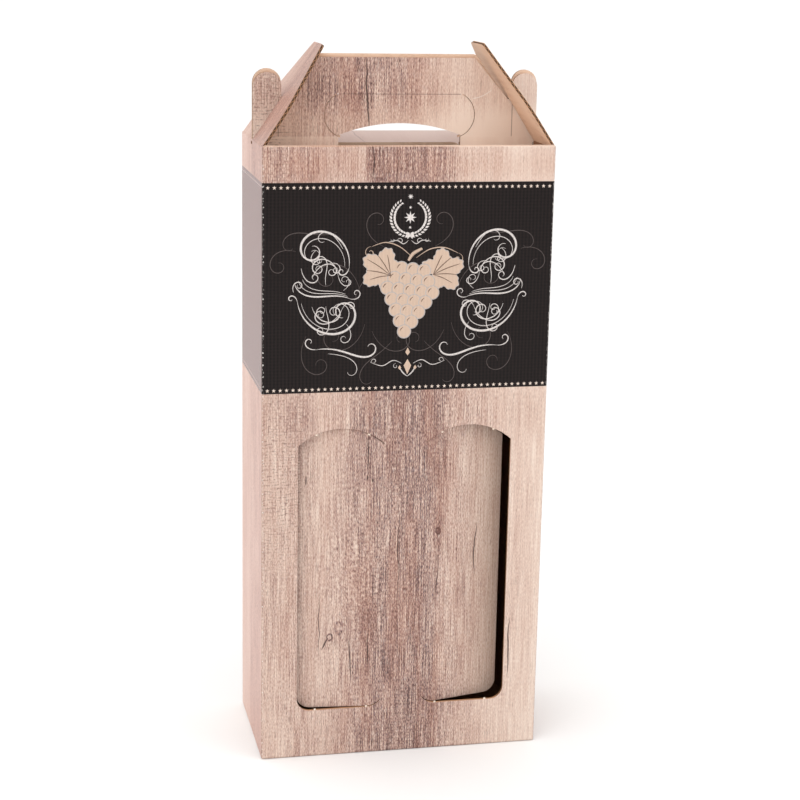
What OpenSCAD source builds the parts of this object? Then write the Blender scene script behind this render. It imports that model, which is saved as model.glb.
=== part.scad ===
// Two-bottle carrier folded from one sheet of fine-fluted corrugated board.
// Millimetres, +Z up. The origin lies on the floor under the middle of the carton,
// and the front faces -Y. The kraft side of the board is inside, the printed side outside.

/* [Carton] */
// Outer width
carton_w = 160; // [152:1:176]
// Outer depth
carton_d = 84; // [80:1:92]
// Height from the floor to the top folds
carton_h = 346; // [330:1:370]
// Thickness of the board
board_t = 1.6; // [1.2:0.1:2]
// Width of the glue lap inside the left back corner
lap_w = 28; // [15:1:32]
// Width of the seam between the two large bottom panels
seam_w = 0.6; // [0.3:0.1:1]
// How far the seam steps to each side of the middle
seam_step = 9; // [4:1:14]
// Reach of the side panels over the bottom
side_panel_l = 40; // [25:1:60]

/* [Windows] */
// Distance from the middle of the front to each crease
crease_x = 12; // [8:0.5:16]
// Width of the board left between a window and the carton's corner
jamb_w = 20; // [15:0.5:24]
// Height of the windows' bottom edge above the floor
window_foot = 28; // [18:1:50]
// Height of the arch's centre above the windows' bottom edge
arch_rise = 128; // [100:1:140]
// Radius of the arch
arch_r = 36; // [30:1:40]
// Radius of the free bottom corner
free_corner_r = 7.5; // [3:0.5:15]
// Radius of the cut where it turns up to the crease
crease_corner_r = 10; // [8:0.5:14]
// How far that cut has risen where it meets the crease
crease_cut_rise = 4; // [2:0.5:6]
// Width of the cut round a flap
kerf = 0.4; // [0.3:0.05:0.7]
// Gap between a flap and the wall along its crease
crease_gap = 0.1; // [0.05:0.05:0.2]
// Half of the angle that the crushed board leaves free behind a crease
score_angle = 46; // [45:0.5:50]
// The same on the side that a flap swings to, which frees its corners at the crease's ends
swing_angle = 65; // [62:1:70]
// Angle at which the left flap rests, pushed in
left_rest = 5.5; // [1:0.5:20]
// Angle at which the right flap rests, pushed in
right_rest = 14; // [1:0.5:30]

/* [Handle] */
// Slope of the two half tops down to the middle, in degrees
top_slope = 6.3; // [5:0.1:8]
// Gap between the two handle layers
layer_gap = 0.3; // [0.2:0.1:0.8]
// Height of the front handle layer above the top folds
handle_h = 43.7; // [40:0.1:50]
// Width of the handle's straight top edge
handle_top_w = 87; // [70:1:95]
// Radius of the handle's top corners
handle_corner_r = 2; // [1:0.5:4]
// How far the back layer stands proud of the front one
layer_step = 1.8; // [0.5:0.1:3]
// Height of the ears above the top folds
ear_h = 35.5; // [31:0.5:38]
// How far the ears end short of the carton's side faces
ear_inset = 0.4; // [0.2:0.1:1]
// Height of the ears' shoulders below the top folds
shoulder_drop = 2.6; // [1.5:0.1:3.5]
// Height of the notches' bottom above the top folds
notch_h = 21.4; // [18:0.2:24]
// Free space on each side of a lock flap in its notch
notch_clear = 0.35; // [0.2:0.05:0.6]
// Free space between the half tops and the side walls
top_clear = 0.4; // [0.2:0.1:0.8]

/* [Grip] */
// Width of the grip opening
grip_w = 68.8; // [60:0.2:74]
// Height of the opening's sides above the top folds
grip_side_h = 1.5; // [0.5:0.1:4]
// Rise of the opening's arched upper edge
grip_rise = 6.5; // [4:0.1:8]
// How far the opening lies to the right of the middle
grip_shift = 1.9; // [0:0.1:3]
// How far the opening reaches into the front half top
grip_reach = 2.5; // [1:0.1:4]
// How far it reaches into the back half top, for the backs of the fingers
grip_back_reach = 7; // [4:0.1:9]
// Radius of its corners there
grip_back_r = 3; // [1:0.5:4]
// Height of the tongue's crease above the top folds
tongue_h = 23.9; // [20:0.1:28]
// Width of the tongue where its ends bulge out
tongue_w = 84; // [80:1:88]
// Radius of the tongue's ends
tongue_end_r = 12.4; // [11:0.1:13.5]
// How far those rounded ends would rise past the crease
tongue_end_rise = 1; // [0.5:0.1:2]
// Free space round the tongue in the back layer
tongue_clear = 1.8; // [1:0.1:2.5]
// Radius of the corners of the hand hole in the back layer
hand_hole_r = 4; // [2:0.5:8]

/* [Lock flaps] */
// Lean of the left lock flap above the level
left_lock_angle = 55.3; // [52:0.1:60]
// Lean of the right lock flap above the level
right_lock_angle = 57.4; // [52:0.1:60]
// Length of a lock flap
lock_l = 63; // [50:0.5:66]
// Distance along a lock flap to where it starts to narrow
lock_shoulder_l = 24; // [10:1:34]
// Width of a lock flap where it starts to narrow
lock_shoulder_w = 74.4; // [60:0.2:78]
// Radius of the bend in its sides there
lock_shoulder_r = 36; // [10:1:40]
// Width of a lock flap's tip
lock_tip_w = 26; // [22:1:40]
// Radius of the tip's corners
lock_tip_r = 4; // [2:0.5:8]
// Space between a slot's sides and the handle layers in it
slot_clear = 0.75; // [0.4:0.05:1.2]
// Height of a slot's end above the bottom of the notch that hooks into it
slot_lift = 2.2; // [1:0.1:3]
// How far a slot runs down past the top fold
slot_drop = 3.4; // [3:0.1:5]

/* [Hidden] */
$fn = 64;
LARGE_FN = 180;
EPS = 0.01;
CUT = 1;
ARC_STEP = 8;
TAN = [0.86, 0.76, 0.68];
WALL_X = carton_w / 2;
WALL_Y = carton_d / 2;
IN_X = WALL_X - board_t;
IN_Y = WALL_Y - board_t;
FOLD_Z = carton_h - board_t;
HALF_GAP = layer_gap / 2;
// The lap ends under the half top that slopes down over it.
LAP_H = FOLD_Z - board_t - (lap_w + board_t) * tan(top_slope);
WINDOW_W = WALL_X - crease_x - jamb_w;
ARCH_Z = window_foot + arch_rise;
// A score reaches as far as its flap does two boards away from the crease.
SCORE_REACH = 2 * board_t;
CREASE_CUT_U = sqrt(pow(crease_corner_r, 2) - pow(crease_corner_r - crease_cut_rise, 2));
SCORE_TOP_Z = ARCH_Z + sqrt(pow(arch_r, 2) - pow(WINDOW_W / 2 - SCORE_REACH, 2));
SCORE_FOOT_Z = window_foot + crease_corner_r
    - sqrt(pow(crease_corner_r, 2) - pow(CREASE_CUT_U - SCORE_REACH, 2));
// A half top runs from its fold to the foot of its handle layer.
HALF_TOP_L = (IN_Y - board_t - HALF_GAP - board_t * sin(top_slope)) / cos(top_slope);
FOOT_Z = FOLD_Z - HALF_TOP_L * sin(top_slope) + board_t * cos(top_slope);
HALF_TOP_X = IN_X - top_clear;
EAR_X = WALL_X - ear_inset;
NOTCH_Z = carton_h + notch_h;
SLOT_W = 2 * board_t + layer_gap + 2 * slot_clear;
GRIP_TOP_Z = carton_h + grip_side_h + grip_rise;
GRIP_ARC_R = (pow(grip_w / 2, 2) + pow(grip_rise, 2)) / 2 / grip_rise;
TONGUE_Z = carton_h + tongue_h;
TONGUE_END_Z = TONGUE_Z - tongue_end_r + tongue_end_rise;
TONGUE_X = tongue_w / 2;
TONGUE_SCORE_L = tongue_w - 2 * tongue_end_r
    + 2 * sqrt(pow(tongue_end_r, 2) - pow(tongue_end_r - tongue_end_rise - SCORE_REACH, 2));
LAYER_Y = HALF_GAP + board_t;

// A notch is as wide as a leaning lock flap is through its board, and sits where the end of
// that flap's slot hooks in.
function notch_r(lean) = board_t / 2 / sin(lean) + notch_clear;
function notch_x(lean) = WALL_X - (notch_h + slot_lift) / tan(lean) - board_t / 2 / sin(lean);

// Points of a polygon whose corners, given as [x, y, radius], are rounded.
function unit(v) = v / norm(v);
function xy(p) = [p[0], p[1]];
function turn(a, b) = ((b - a + 540) % 360) - 180;
function corner_arc(a, p, b) =
    let (u = unit(xy(a) - xy(p)), v = unit(xy(b) - xy(p)),
         half = acos(u * v) / 2,
         centre = xy(p) + unit(u + v) * p[2] / sin(half),
         start = xy(p) + u * p[2] / tan(half) - centre,
         end = xy(p) + v * p[2] / tan(half) - centre,
         from = atan2(start[1], start[0]),
         sweep = turn(from, atan2(end[1], end[0])),
         steps = max(2, ceil(abs(sweep) / ARC_STEP)))
    [for (i = [0 : steps]) centre + p[2] * [cos(from + sweep * i / steps), sin(from + sweep * i / steps)]];
function rounded(pts) =
    let (n = len(pts))
    [for (i = [0 : n - 1])
        for (q = pts[i][2] == 0 ? [xy(pts[i])] : corner_arc(pts[(i + n - 1) % n], pts[i], pts[(i + 1) % n])) q];

// Points of a right half joined to those of a left half given as its mirror image.
function joined(right, left) =
    concat(right, [for (i = [len(left) - 1 : -1 : 0]) [-left[i][0], left[i][1], left[i][2]]]);

// Places an outline drawn in X and Z as a sheet from y to y + t.
module upright(y, t) {
    translate([0, y + t, 0]) rotate([90, 0, 0]) linear_extrude(t) children();
}

// Places a section drawn in Y and Z along X, and one drawn in X and Z along Y.
module across(w) {
    rotate([90, 0, 90]) linear_extrude(w, center = true) children();
}
module along(w) {
    rotate([90, 0, 0]) linear_extrude(w, center = true) children();
}

// A straight stretch of board in section, with its printed side on the left of its direction.
module leaf(from, angle, length) {
    translate(from) rotate(angle) square([length, board_t]);
}

// The rounded outside of a fold in section, clockwise from one direction to another.
module fold(at, from, to) {
    reach = 2 * board_t;
    translate(at) intersection() {
        circle(board_t);
        rotate(from) translate([-reach, -reach]) square([2 * reach, reach]);
        rotate(to) translate([-reach, 0]) square([2 * reach, reach]);
    }
}

// A rectangle whose corners are rounded as a fold rounds the board.
module folded_rect(x0, y0, x1, y1) {
    translate([x0 + board_t, y0]) square([x1 - x0 - 2 * board_t, y1 - y0]);
    translate([x0, y0 + board_t]) square([x1 - x0, y1 - y0 - 2 * board_t]);
    for (x = [x0 + board_t, x1 - board_t], y = [y0 + board_t, y1 - board_t])
        translate([x, y]) circle(board_t);
}

// Plan of the carton, and the whole closed carton with every folded edge rounded.
module plan() {
    folded_rect(-WALL_X, -WALL_Y, WALL_X, WALL_Y);
}
module envelope() {
    intersection() {
        linear_extrude(carton_h) plan();
        across(carton_w) folded_rect(-WALL_Y, 0, WALL_Y, carton_h);
        along(carton_d) folded_rect(-WALL_X, 0, WALL_X, carton_h);
    }
}

// The four top corners, where the folds of the half tops and the lock flaps meet.
module top_corners() {
    for (sx = [-1, 1], sy = [-1, 1]) intersection() {
        envelope();
        translate([sx * (IN_X + board_t), sy * (IN_Y + board_t), carton_h])
            cube(2 * board_t, center = true);
    }
}

module seam() {
    for (s = [-1, 1])
        translate([s * IN_X / 2, s * seam_step, board_t / 2])
            cube([IN_X, seam_w, board_t + 2 * CUT], center = true);
    translate([0, 0, board_t / 2]) cube([seam_w, 2 * seam_step + seam_w, board_t + 2 * CUT], center = true);
}

// The four walls, the two large bottom panels, the side panels glued over them and the glue lap.
module walls() {
    difference() {
        intersection() {
            envelope();
            translate([-WALL_X, -WALL_Y, 0]) cube([carton_w, carton_d, FOLD_Z]);
        }
        translate([-IN_X, -IN_Y, board_t]) cube([2 * IN_X, 2 * IN_Y, carton_h]);
        seam();
        for (s = [0, 1]) mirror([s, 0, 0]) window_cut();
        slot_wall_cuts();
    }
    for (s = [0, 1]) mirror([s, 0, 0])
        translate([-IN_X - EPS, 0, board_t - EPS]) linear_extrude(board_t + EPS)
            polygon([[0, -IN_Y], [side_panel_l, -IN_Y + side_panel_l / 2],
                     [side_panel_l, IN_Y - side_panel_l / 2], [0, IN_Y]]);
    translate([-IN_X - EPS, IN_Y - lap_w, board_t]) cube([board_t + EPS, lap_w + EPS, LAP_H]);
}

// Outline of a window or flap from the crease outwards, drawn in from the cut line by inset.
module window_outline(inset) {
    w = WINDOW_W - inset;
    foot = window_foot + inset;
    free_r = free_corner_r - inset;
    crease_r = crease_corner_r - inset;
    intersection() {
        translate([0, foot]) square([w, arch_rise + arch_r]);
        union() {
            translate([CREASE_CUT_U, foot]) square([w - free_r - CREASE_CUT_U, arch_rise]);
            translate([0, foot + crease_r]) square([w - free_r, arch_rise - crease_r]);
            translate([0, foot + free_r]) square([w, arch_rise - free_r]);
            translate([CREASE_CUT_U, foot + crease_r]) circle(crease_r);
            translate([w - free_r, foot + free_r]) circle(free_r);
            intersection() {
                translate([WINDOW_W / 2, ARCH_Z]) circle(arch_r - inset, $fn = LARGE_FN);
                translate([0, ARCH_Z - EPS]) square([w, arch_r]);
            }
        }
    }
}

// Wedge that the crushed board leaves free behind a crease at x = 0, on its -X side, and
// on its +X side by an angle of its own.
module score_wedge(z0, z1, swing) {
    run = board_t + CUT;
    translate([0, 0, z0]) linear_extrude(z1 - z0)
        polygon([[EPS, 0], [EPS + run * tan(swing), run], [-run * tan(score_angle), run]]);
}

// The right window: its opening, and the score beside it.
module window_cut() {
    translate([crease_x, -WALL_Y, 0]) {
        upright(-CUT, board_t + 2 * CUT) window_outline(0);
        score_wedge(SCORE_FOOT_Z, SCORE_TOP_Z, swing_angle);
    }
}

// A window flap standing on its crease, with the free side towards +X.
module flap_board(angle) {
    translate([crease_x, -WALL_Y, 0]) rotate([0, 0, angle]) difference() {
        upright(0, board_t) intersection() {
            window_outline(kerf);
            translate([crease_gap, 0]) square([WINDOW_W, carton_h]);
        }
        translate([crease_gap, 0, 0]) mirror([1, 0, 0]) score_wedge(0, carton_h, 0);
    }
}

// Right half of a handle layer's outline in X and Z, notched for a flap that leans as given.
// The back layer is drawn with the step.
function handle_half(step, lean) =
    let (r = notch_r(lean), x = notch_x(lean), ear_r = (EAR_X - x - r) / 2)
    [[HALF_TOP_X, FOOT_Z, 0],
     [HALF_TOP_X, carton_h - shoulder_drop, 0],
     [EAR_X, carton_h - shoulder_drop, 0],
     [EAR_X, carton_h + ear_h + step, ear_r - EPS],
     [x + r, carton_h + ear_h + step, ear_r - EPS],
     [x + r, NOTCH_Z, r - EPS],
     [x - r, NOTCH_Z, r / 2],
     [(handle_top_w + step) / 2, carton_h + handle_h + step, handle_corner_r]];
function handle_outline(step) =
    joined(handle_half(step, right_lock_angle), handle_half(step, left_lock_angle));

// Opening under the tongue, arched on top, from below the handle's foot upwards.
module grip_outline() {
    half = grip_w / 2;
    bottom = FOOT_Z - board_t - CUT;
    side_z = carton_h + grip_side_h;
    translate([grip_shift, 0]) {
        translate([-half, bottom]) square([grip_w, side_z - bottom]);
        intersection() {
            translate([0, GRIP_TOP_Z - GRIP_ARC_R]) circle(GRIP_ARC_R, $fn = LARGE_FN);
            translate([-half, side_z - EPS]) square([grip_w, grip_rise + 2 * EPS]);
        }
    }
}

// Plan of the same opening where it runs on into the back half top.
module grip_back_plan() {
    half = grip_w / 2;
    side = [[half, 0, 0], [half, LAYER_Y + grip_back_reach, grip_back_r]];
    translate([grip_shift, 0]) polygon(rounded(joined(side, side)));
}

// Outline of the tongue between its crease and the opening, grown by grow on its cut sides.
module tongue_outline(grow) {
    end_x = TONGUE_X - tongue_end_r;
    difference() {
        translate([grip_shift, 0]) intersection() {
            union() {
                for (s = [-1, 1]) translate([s * end_x, TONGUE_END_Z]) circle(tongue_end_r + grow);
                translate([-end_x, TONGUE_END_Z - tongue_end_r - grow])
                    square([2 * end_x, 2 * (tongue_end_r + grow)]);
            }
            translate([-carton_w / 2, FOOT_Z]) square([carton_w, TONGUE_Z - FOOT_Z]);
        }
        grip_outline();
    }
}

// Hand hole of the back layer, which the tongue folds through.
module hand_hole() {
    half = TONGUE_X + tongue_clear;
    side = [[half, FOOT_Z + board_t, hand_hole_r], [half, TONGUE_Z + board_t + tongue_clear, hand_hole_r]];
    translate([grip_shift, 0]) polygon(rounded(joined(side, side)));
}

// Half top and the foot of its handle layer, in section for the front side.
module half_top_section() {
    pivot = [-IN_Y, FOLD_Z];
    foot = [-HALF_GAP - board_t, FOOT_Z];
    fold(pivot, 180, 90 - top_slope);
    leaf(pivot, -top_slope, HALF_TOP_L);
    fold(foot, 360, 270 - top_slope);
}

// One half top with its handle layer, for the front side. The back one is turned round.
module half_top(step) {
    across(2 * HALF_TOP_X) half_top_section();
    across(2 * IN_X) fold([-IN_Y, FOLD_Z], 180, 90 - top_slope);
    upright(-LAYER_Y, board_t) polygon(rounded(handle_outline(step)));
}

module front_handle() {
    difference() {
        half_top(0);
        upright(-LAYER_Y - grip_reach, LAYER_Y + grip_reach) grip_outline();
        upright(-LAYER_Y - CUT, board_t + CUT + HALF_GAP) tongue_outline(kerf);
        translate([0, -LAYER_Y, TONGUE_Z]) tongue_score(swing_angle);
    }
}

module back_handle() {
    difference() {
        mirror([0, 1, 0]) half_top(layer_step);
        upright(0, LAYER_Y + CUT) grip_outline();
        upright(0, LAYER_Y + CUT) hand_hole();
        translate([0, 0, FOOT_Z - board_t - CUT])
            linear_extrude(carton_h - FOOT_Z + board_t + CUT) grip_back_plan();
    }
}

// Wedge that the crushed board leaves free over the tongue's crease, behind the printed face.
module tongue_score(swing) {
    run = board_t + CUT;
    translate([grip_shift, 0, 0]) across(TONGUE_SCORE_L)
        polygon([[0, -EPS], [run, -EPS - run * tan(swing)], [run, run * tan(score_angle)]]);
}

module tongue_board() {
    difference() {
        upright(-LAYER_Y, board_t) intersection() {
            tongue_outline(0);
            translate([-carton_w / 2, 0]) square([carton_w, TONGUE_Z - crease_gap]);
        }
        translate([0, -LAYER_Y, TONGUE_Z - crease_gap]) mirror([0, 0, 1]) tongue_score(0);
    }
}

// Cuts for the slots where they run down past the top folds of the side walls.
module slot_wall_cuts() {
    for (s = [-1, 1])
        translate([s * WALL_X, 0, carton_h]) cube([2 * board_t + CUT, SLOT_W, 2 * slot_drop], center = true);
}

// The rounded outside of the left wall's top fold, up to a lock flap that leans as given.
module lock_fold(lean) {
    reach = 2 * board_t;
    intersection() {
        along(2 * IN_Y) circle(board_t);
        translate([-reach, -IN_Y - CUT, 0]) cube([reach, carton_d, reach]);
        rotate([0, -lean, 0]) translate([-reach, -IN_Y - CUT, -reach]) cube([reach, carton_d, 2 * reach]);
    }
}

// The left lock flap, leaning in over the carton with its slot over the ear.
module lock_flap(lean) {
    slot_l = (notch_h + slot_lift) / sin(lean);
    slot_r = SLOT_W / 2 - EPS;
    outline = rounded([
        [0, -IN_Y + top_clear, 0],
        [lock_shoulder_l, -lock_shoulder_w / 2, lock_shoulder_r],
        [lock_l, -lock_tip_w / 2, lock_tip_r],
        [lock_l, lock_tip_w / 2, lock_tip_r],
        [lock_shoulder_l, lock_shoulder_w / 2, lock_shoulder_r],
        [0, IN_Y - top_clear, 0]]);
    difference() {
        translate([-IN_X, 0, FOLD_Z]) {
            rotate([0, -lean, 0]) linear_extrude(board_t) polygon(outline);
            lock_fold(lean);
        }
        translate([-IN_X, 0, FOLD_Z]) rotate([0, -lean, 0])
            translate([0, 0, -CUT]) linear_extrude(board_t + 2 * CUT)
                polygon(rounded([[-CUT, -SLOT_W / 2, 0], [slot_l, -SLOT_W / 2, slot_r],
                                 [slot_l, SLOT_W / 2, slot_r], [-CUT, SLOT_W / 2, 0]]));
        slot_wall_cuts();
    }
}

module carton() {
    color(TAN) union() {
        walls();
        front_handle();
        back_handle();
        lock_flap(left_lock_angle);
        mirror([1, 0, 0]) lock_flap(right_lock_angle);
        top_corners();
    }
}

module left_window_flap() {
    color(TAN) mirror([1, 0, 0]) flap_board(left_rest);
}

module right_window_flap() {
    color(TAN) flap_board(right_rest);
}

module grip_tongue() {
    color(TAN) tongue_board();
}

carton();
left_window_flap();
right_window_flap();
grip_tongue();
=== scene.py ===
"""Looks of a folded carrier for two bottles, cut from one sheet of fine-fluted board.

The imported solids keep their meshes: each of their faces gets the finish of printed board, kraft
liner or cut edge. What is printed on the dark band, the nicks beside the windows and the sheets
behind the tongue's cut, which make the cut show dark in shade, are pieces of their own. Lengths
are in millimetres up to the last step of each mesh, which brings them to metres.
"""

import logging
import math
import random
from dataclasses import dataclass, field
from enum import Enum
from typing import Callable, Sequence, Union

import bpy
from mathutils import Matrix, Vector


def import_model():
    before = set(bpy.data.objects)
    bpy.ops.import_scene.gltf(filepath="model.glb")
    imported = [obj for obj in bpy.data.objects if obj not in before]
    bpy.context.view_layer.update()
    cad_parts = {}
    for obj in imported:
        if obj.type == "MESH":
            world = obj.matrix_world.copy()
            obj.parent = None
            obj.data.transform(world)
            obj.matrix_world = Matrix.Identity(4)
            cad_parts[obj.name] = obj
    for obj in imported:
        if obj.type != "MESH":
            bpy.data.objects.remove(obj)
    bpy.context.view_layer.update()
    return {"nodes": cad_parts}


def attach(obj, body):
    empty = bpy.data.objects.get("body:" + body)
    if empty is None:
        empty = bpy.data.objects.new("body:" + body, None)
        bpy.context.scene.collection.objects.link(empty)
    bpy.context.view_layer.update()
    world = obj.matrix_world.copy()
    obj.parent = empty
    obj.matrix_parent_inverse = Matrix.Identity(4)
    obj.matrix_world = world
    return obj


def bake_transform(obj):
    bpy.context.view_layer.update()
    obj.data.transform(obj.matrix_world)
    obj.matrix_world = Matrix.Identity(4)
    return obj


LOG = logging.getLogger("carrier")
MM = 0.001
TURN = 2 * math.pi
Point = tuple[float, float]
Colour = tuple[float, float, float, float]
Levels = Sequence[tuple[float, float]]


def srgb(*parts: int) -> Colour:
    """The linear colour that a shader takes for a display colour of three parts from 0 to 255."""
    shares = (part / 255 for part in parts)
    return (*(c / 12.92 if c <= 0.04045 else ((c + 0.055) / 1.055) ** 2.4 for c in shares), 1.0)


def sign_of(operation: str, swapped: bool = False) -> Callable[["Signal", "Number"], "Signal"]:
    """The method that a sign of arithmetic runs on a signal.

    Args:
        operation: what the Math node does.
        swapped: whether the other value stands in front of the sign.

    Returns:
        The method.
    """

    def run(signal: "Signal", other: "Number") -> "Signal":
        """Adds the Math node for the two values."""
        return signal.sheet.math(operation, *((other, signal) if swapped else (signal, other)))

    return run


class Signal:
    """A number that varies over a surface: a node's socket that takes arithmetic."""

    __add__, __radd__ = sign_of("ADD"), sign_of("ADD", swapped=True)
    __sub__, __rsub__ = sign_of("SUBTRACT"), sign_of("SUBTRACT", swapped=True)
    __mul__, __rmul__ = sign_of("MULTIPLY"), sign_of("MULTIPLY", swapped=True)
    __truediv__ = sign_of("DIVIDE")
    least, most = sign_of("MINIMUM"), sign_of("MAXIMUM")

    def __init__(self, sheet: "NodeSheet", socket: bpy.types.NodeSocket) -> None:
        """Keeps the socket and the sheet of nodes it belongs to."""
        self.sheet = sheet
        self.socket = socket

    def __neg__(self) -> "Signal":
        """0 - self."""
        return self.sheet.math("MULTIPLY", self, -1.0)

    def __abs__(self) -> "Signal":
        """The size of self without its sign."""
        return self.sheet.math("ABSOLUTE", self)

    def wave(self, pitch: float) -> "Signal":
        """A sine wave along self with the given pitch."""
        return self.sheet.math("SINE", self * (TURN / pitch))

    def fade(self) -> "Signal":
        """1 where self is 0, falling off fast as self grows."""
        return self.sheet.math("POWER", math.e, -self)

    def bell(self) -> "Signal":
        """1 where self is 0, falling off on both sides as a bell curve does."""
        return (self * self).fade()

    def rise(self, low: float, high: float) -> "Signal":
        """0 up to low, 1 from high on, and smooth between.

        Args:
            low: value of self at which the rise starts.
            high: value of self at which it ends.

        Returns:
            The eased value.
        """
        ends = {"Value": self, "From Min": low, "From Max": high}
        node = self.sheet.add("ShaderNodeMapRange", {"interpolation_type": "SMOOTHSTEP"}, ends)
        return Signal(self.sheet, node.outputs["Result"])


Number = Union[Signal, float]
Paint = Union[Colour, bpy.types.NodeSocket]


class NodeSheet:
    """The nodes of one material: the place in millimetres as x, y and z, and the colour so far."""

    def __init__(self, name: str, colour: Colour = (1.0, 1.0, 1.0, 1.0)) -> None:
        """Makes the material and reads the Object coordinates.

        Args:
            name: name of the material.
            colour: colour that the first layer covers.
        """
        self.colour: Paint = colour
        self.material = bpy.data.materials.new(name)
        self.material.use_nodes = True
        self.tree = self.material.node_tree
        self.shader = self.tree.nodes["Principled BSDF"]
        place = self.add("ShaderNodeTexCoord", {}, {})
        parts = self.add("ShaderNodeSeparateXYZ", {}, {0: place.outputs["Object"]}).outputs
        self.x, self.y, self.z = (Signal(self, part) * (1 / MM) for part in parts)

    def add(self, kind: str, settings: dict, inputs: dict) -> bpy.types.Node:
        """Adds a node, sets it up and feeds it.

        Args:
            kind: type of the node.
            settings: properties of the node, set before its sockets. A ramp's stops are (place, colour).
            inputs: values, signals or sockets by the socket's name or number.

        Returns:
            The node.
        """
        node = self.tree.nodes.new(kind)
        for key, value in settings.items():
            if key == "stops":
                self._set_stops(node.color_ramp, value)
            else:
                setattr(node, key, value)
        for key, value in inputs.items():
            self._feed(node.inputs[key], value)
        return node

    def _feed(self, socket: bpy.types.NodeSocket, value: Union[Number, Paint]) -> None:
        """Links a signal or a socket to a socket, or sets the socket to a plain value.

        Args:
            socket: the socket that is fed.
            value: what it gets.
        """
        source = value.socket if isinstance(value, Signal) else value
        if isinstance(source, bpy.types.NodeSocket):
            self.tree.links.new(source, socket)
        else:
            socket.default_value = source

    @staticmethod
    def _set_stops(ramp: bpy.types.ColorRamp, stops: Sequence[tuple[float, Colour]]) -> None:
        """Gives a ramp its stops.

        Args:
            ramp: the ramp.
            stops: places from 0 to 1, in order, and their colours.
        """
        while len(ramp.elements) < len(stops):
            ramp.elements.new(1.0)
        for element, (place, colour) in zip(ramp.elements, stops):
            element.position = place
            element.color = colour

    def math(self, operation: str, *values: Number) -> Signal:
        """Adds one Math node on the given values and returns its result."""
        node = self.add("ShaderNodeMath", {"operation": operation}, dict(enumerate(values)))
        return Signal(self, node.outputs[0])

    def cloud(self, u: Number, v: Number, seed: float, detail: float = 2.0) -> Signal:
        """Noise around 0, from about -0.5 to 0.5, over two coordinates that are already scaled.

        Args:
            u: first coordinate.
            v: second coordinate.
            seed: place of the slice through the noise, so that patterns differ.
            detail: number of finer layers.

        Returns:
            The noise.
        """
        place = self.add("ShaderNodeCombineXYZ", {}, {0: u, 1: v, 2: seed})
        inputs = {"Vector": place.outputs[0], "Scale": 1.0, "Detail": detail}
        return Signal(self, self.add("ShaderNodeTexNoise", {}, inputs).outputs[0]) - 0.5

    def ramp(self, value: Number, stops: Sequence[tuple[float, Colour]]) -> bpy.types.NodeSocket:
        """The colour that a ramp of stops gives for a value of 0 to 1."""
        return self.add("ShaderNodeValToRGB", {"stops": stops}, {0: value}).outputs["Color"]

    def level(self, value: Number, stops: Levels) -> Signal:
        """The number that a ramp of stops gives for a value of 0 to 1.

        Args:
            value: place along the ramp.
            stops: places and their numbers.

        Returns:
            The number.
        """
        grey = [(place, (tone, tone, tone, 1.0)) for place, tone in stops]
        parts = self.add("ShaderNodeSeparateColor", {}, {0: self.ramp(value, grey)})
        return Signal(self, parts.outputs[0])

    def blend(self, factor: Number, below: Paint, above: Paint) -> bpy.types.NodeSocket:
        """Lays one colour over another.

        Args:
            factor: how far the upper colour covers, from 0 to 1.
            below: the lower colour.
            above: the upper colour.

        Returns:
            The mixed colour.
        """
        settings = {"data_type": "RGBA", "clamp_factor": True}
        return self.add("ShaderNodeMix", settings, {0: factor, 6: below, 7: above}).outputs[2]

    def cover(self, factor: Number, above: Paint) -> None:
        """Lays a colour over the colour so far, as far as the factor says."""
        self.colour = self.blend(factor, self.colour, above)

    def close(self, roughness: Number, relief: Signal, depth_mm: float, gloss: float) -> bpy.types.Material:
        """Feeds the shader.

        Args:
            roughness: roughness, which may vary over the surface.
            relief: height of the surface, from 0 to 1.
            depth_mm: depth of that relief.
            gloss: level of the mirror-like reflection, 0.5 for plain paper.

        Returns:
            The finished material.
        """
        bump = self.add("ShaderNodeBump", {}, {"Strength": 1.0, "Distance": depth_mm * MM, "Height": relief})
        fed = {"Normal": bump.outputs["Normal"], "Base Color": self.colour, "Roughness": roughness}
        for name, value in {**fed, "Specular IOR Level": gloss}.items():
            self._feed(self.shader.inputs[name], value)
        return self.material


@dataclass(frozen=True)
class Board:
    """Sizes of the folded carton that the looks are placed by, as the solids have them."""

    half_w: float = 80.0
    half_d: float = 42.0
    height: float = 346.0
    thickness: float = 1.6
    flute_pitch: float = 3.55
    rib_pitch: float = 1.97
    layer_gap: float = 0.15
    crease_x: float = 12.0
    window_x: float = 60.0
    window_foot: float = 28.0
    arch_z: float = 156.0
    arch_r: float = 36.0
    left_rest_deg: float = 5.5
    right_rest_deg: float = 14.0
    left_lean_deg: float = 55.3
    right_lean_deg: float = 57.4
    band_foot: float = 212.5
    band_top: float = 326.5
    notch_x: float = 65.6
    notch_z: float = 367.4
    grip_x: float = 1.9
    tongue_z: float = 369.85
    tongue_half: float = 34.4
    tongue_end_x: float = 29.6
    tongue_end_z: float = 358.5
    tongue_end_r: float = 12.4
    handle_face: float = 1.75
    handle_foot_z: float = 340.5
    slope_z: float = 340.0
    valley_z: float = 341.0

    @property
    def pivot_x(self) -> float:
        """Distance of a lock flap's fold from the middle."""
        return self.half_w - self.thickness

    @property
    def pivot_z(self) -> float:
        """Height of a lock flap's fold."""
        return self.height - self.thickness

    def from_lock_fold(self, across: Number, height: Number, lean_deg: float) -> tuple[Number, Number]:
        """Measures on a lock flap.

        Args:
            across: distance from the carton's middle, towards the flap's side.
            height: height over the ground.
            lean_deg: angle that the flap leans by.

        Returns:
            The depth through the flap's board and the length from its fold.
        """
        cosine, sine = math.cos(math.radians(lean_deg)), math.sin(math.radians(lean_deg))
        inward, upward = self.pivot_x - across, height - self.pivot_z
        depth = 1.0 - (upward * cosine - inward * sine) / self.thickness
        return depth, inward * cosine + upward * sine


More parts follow.
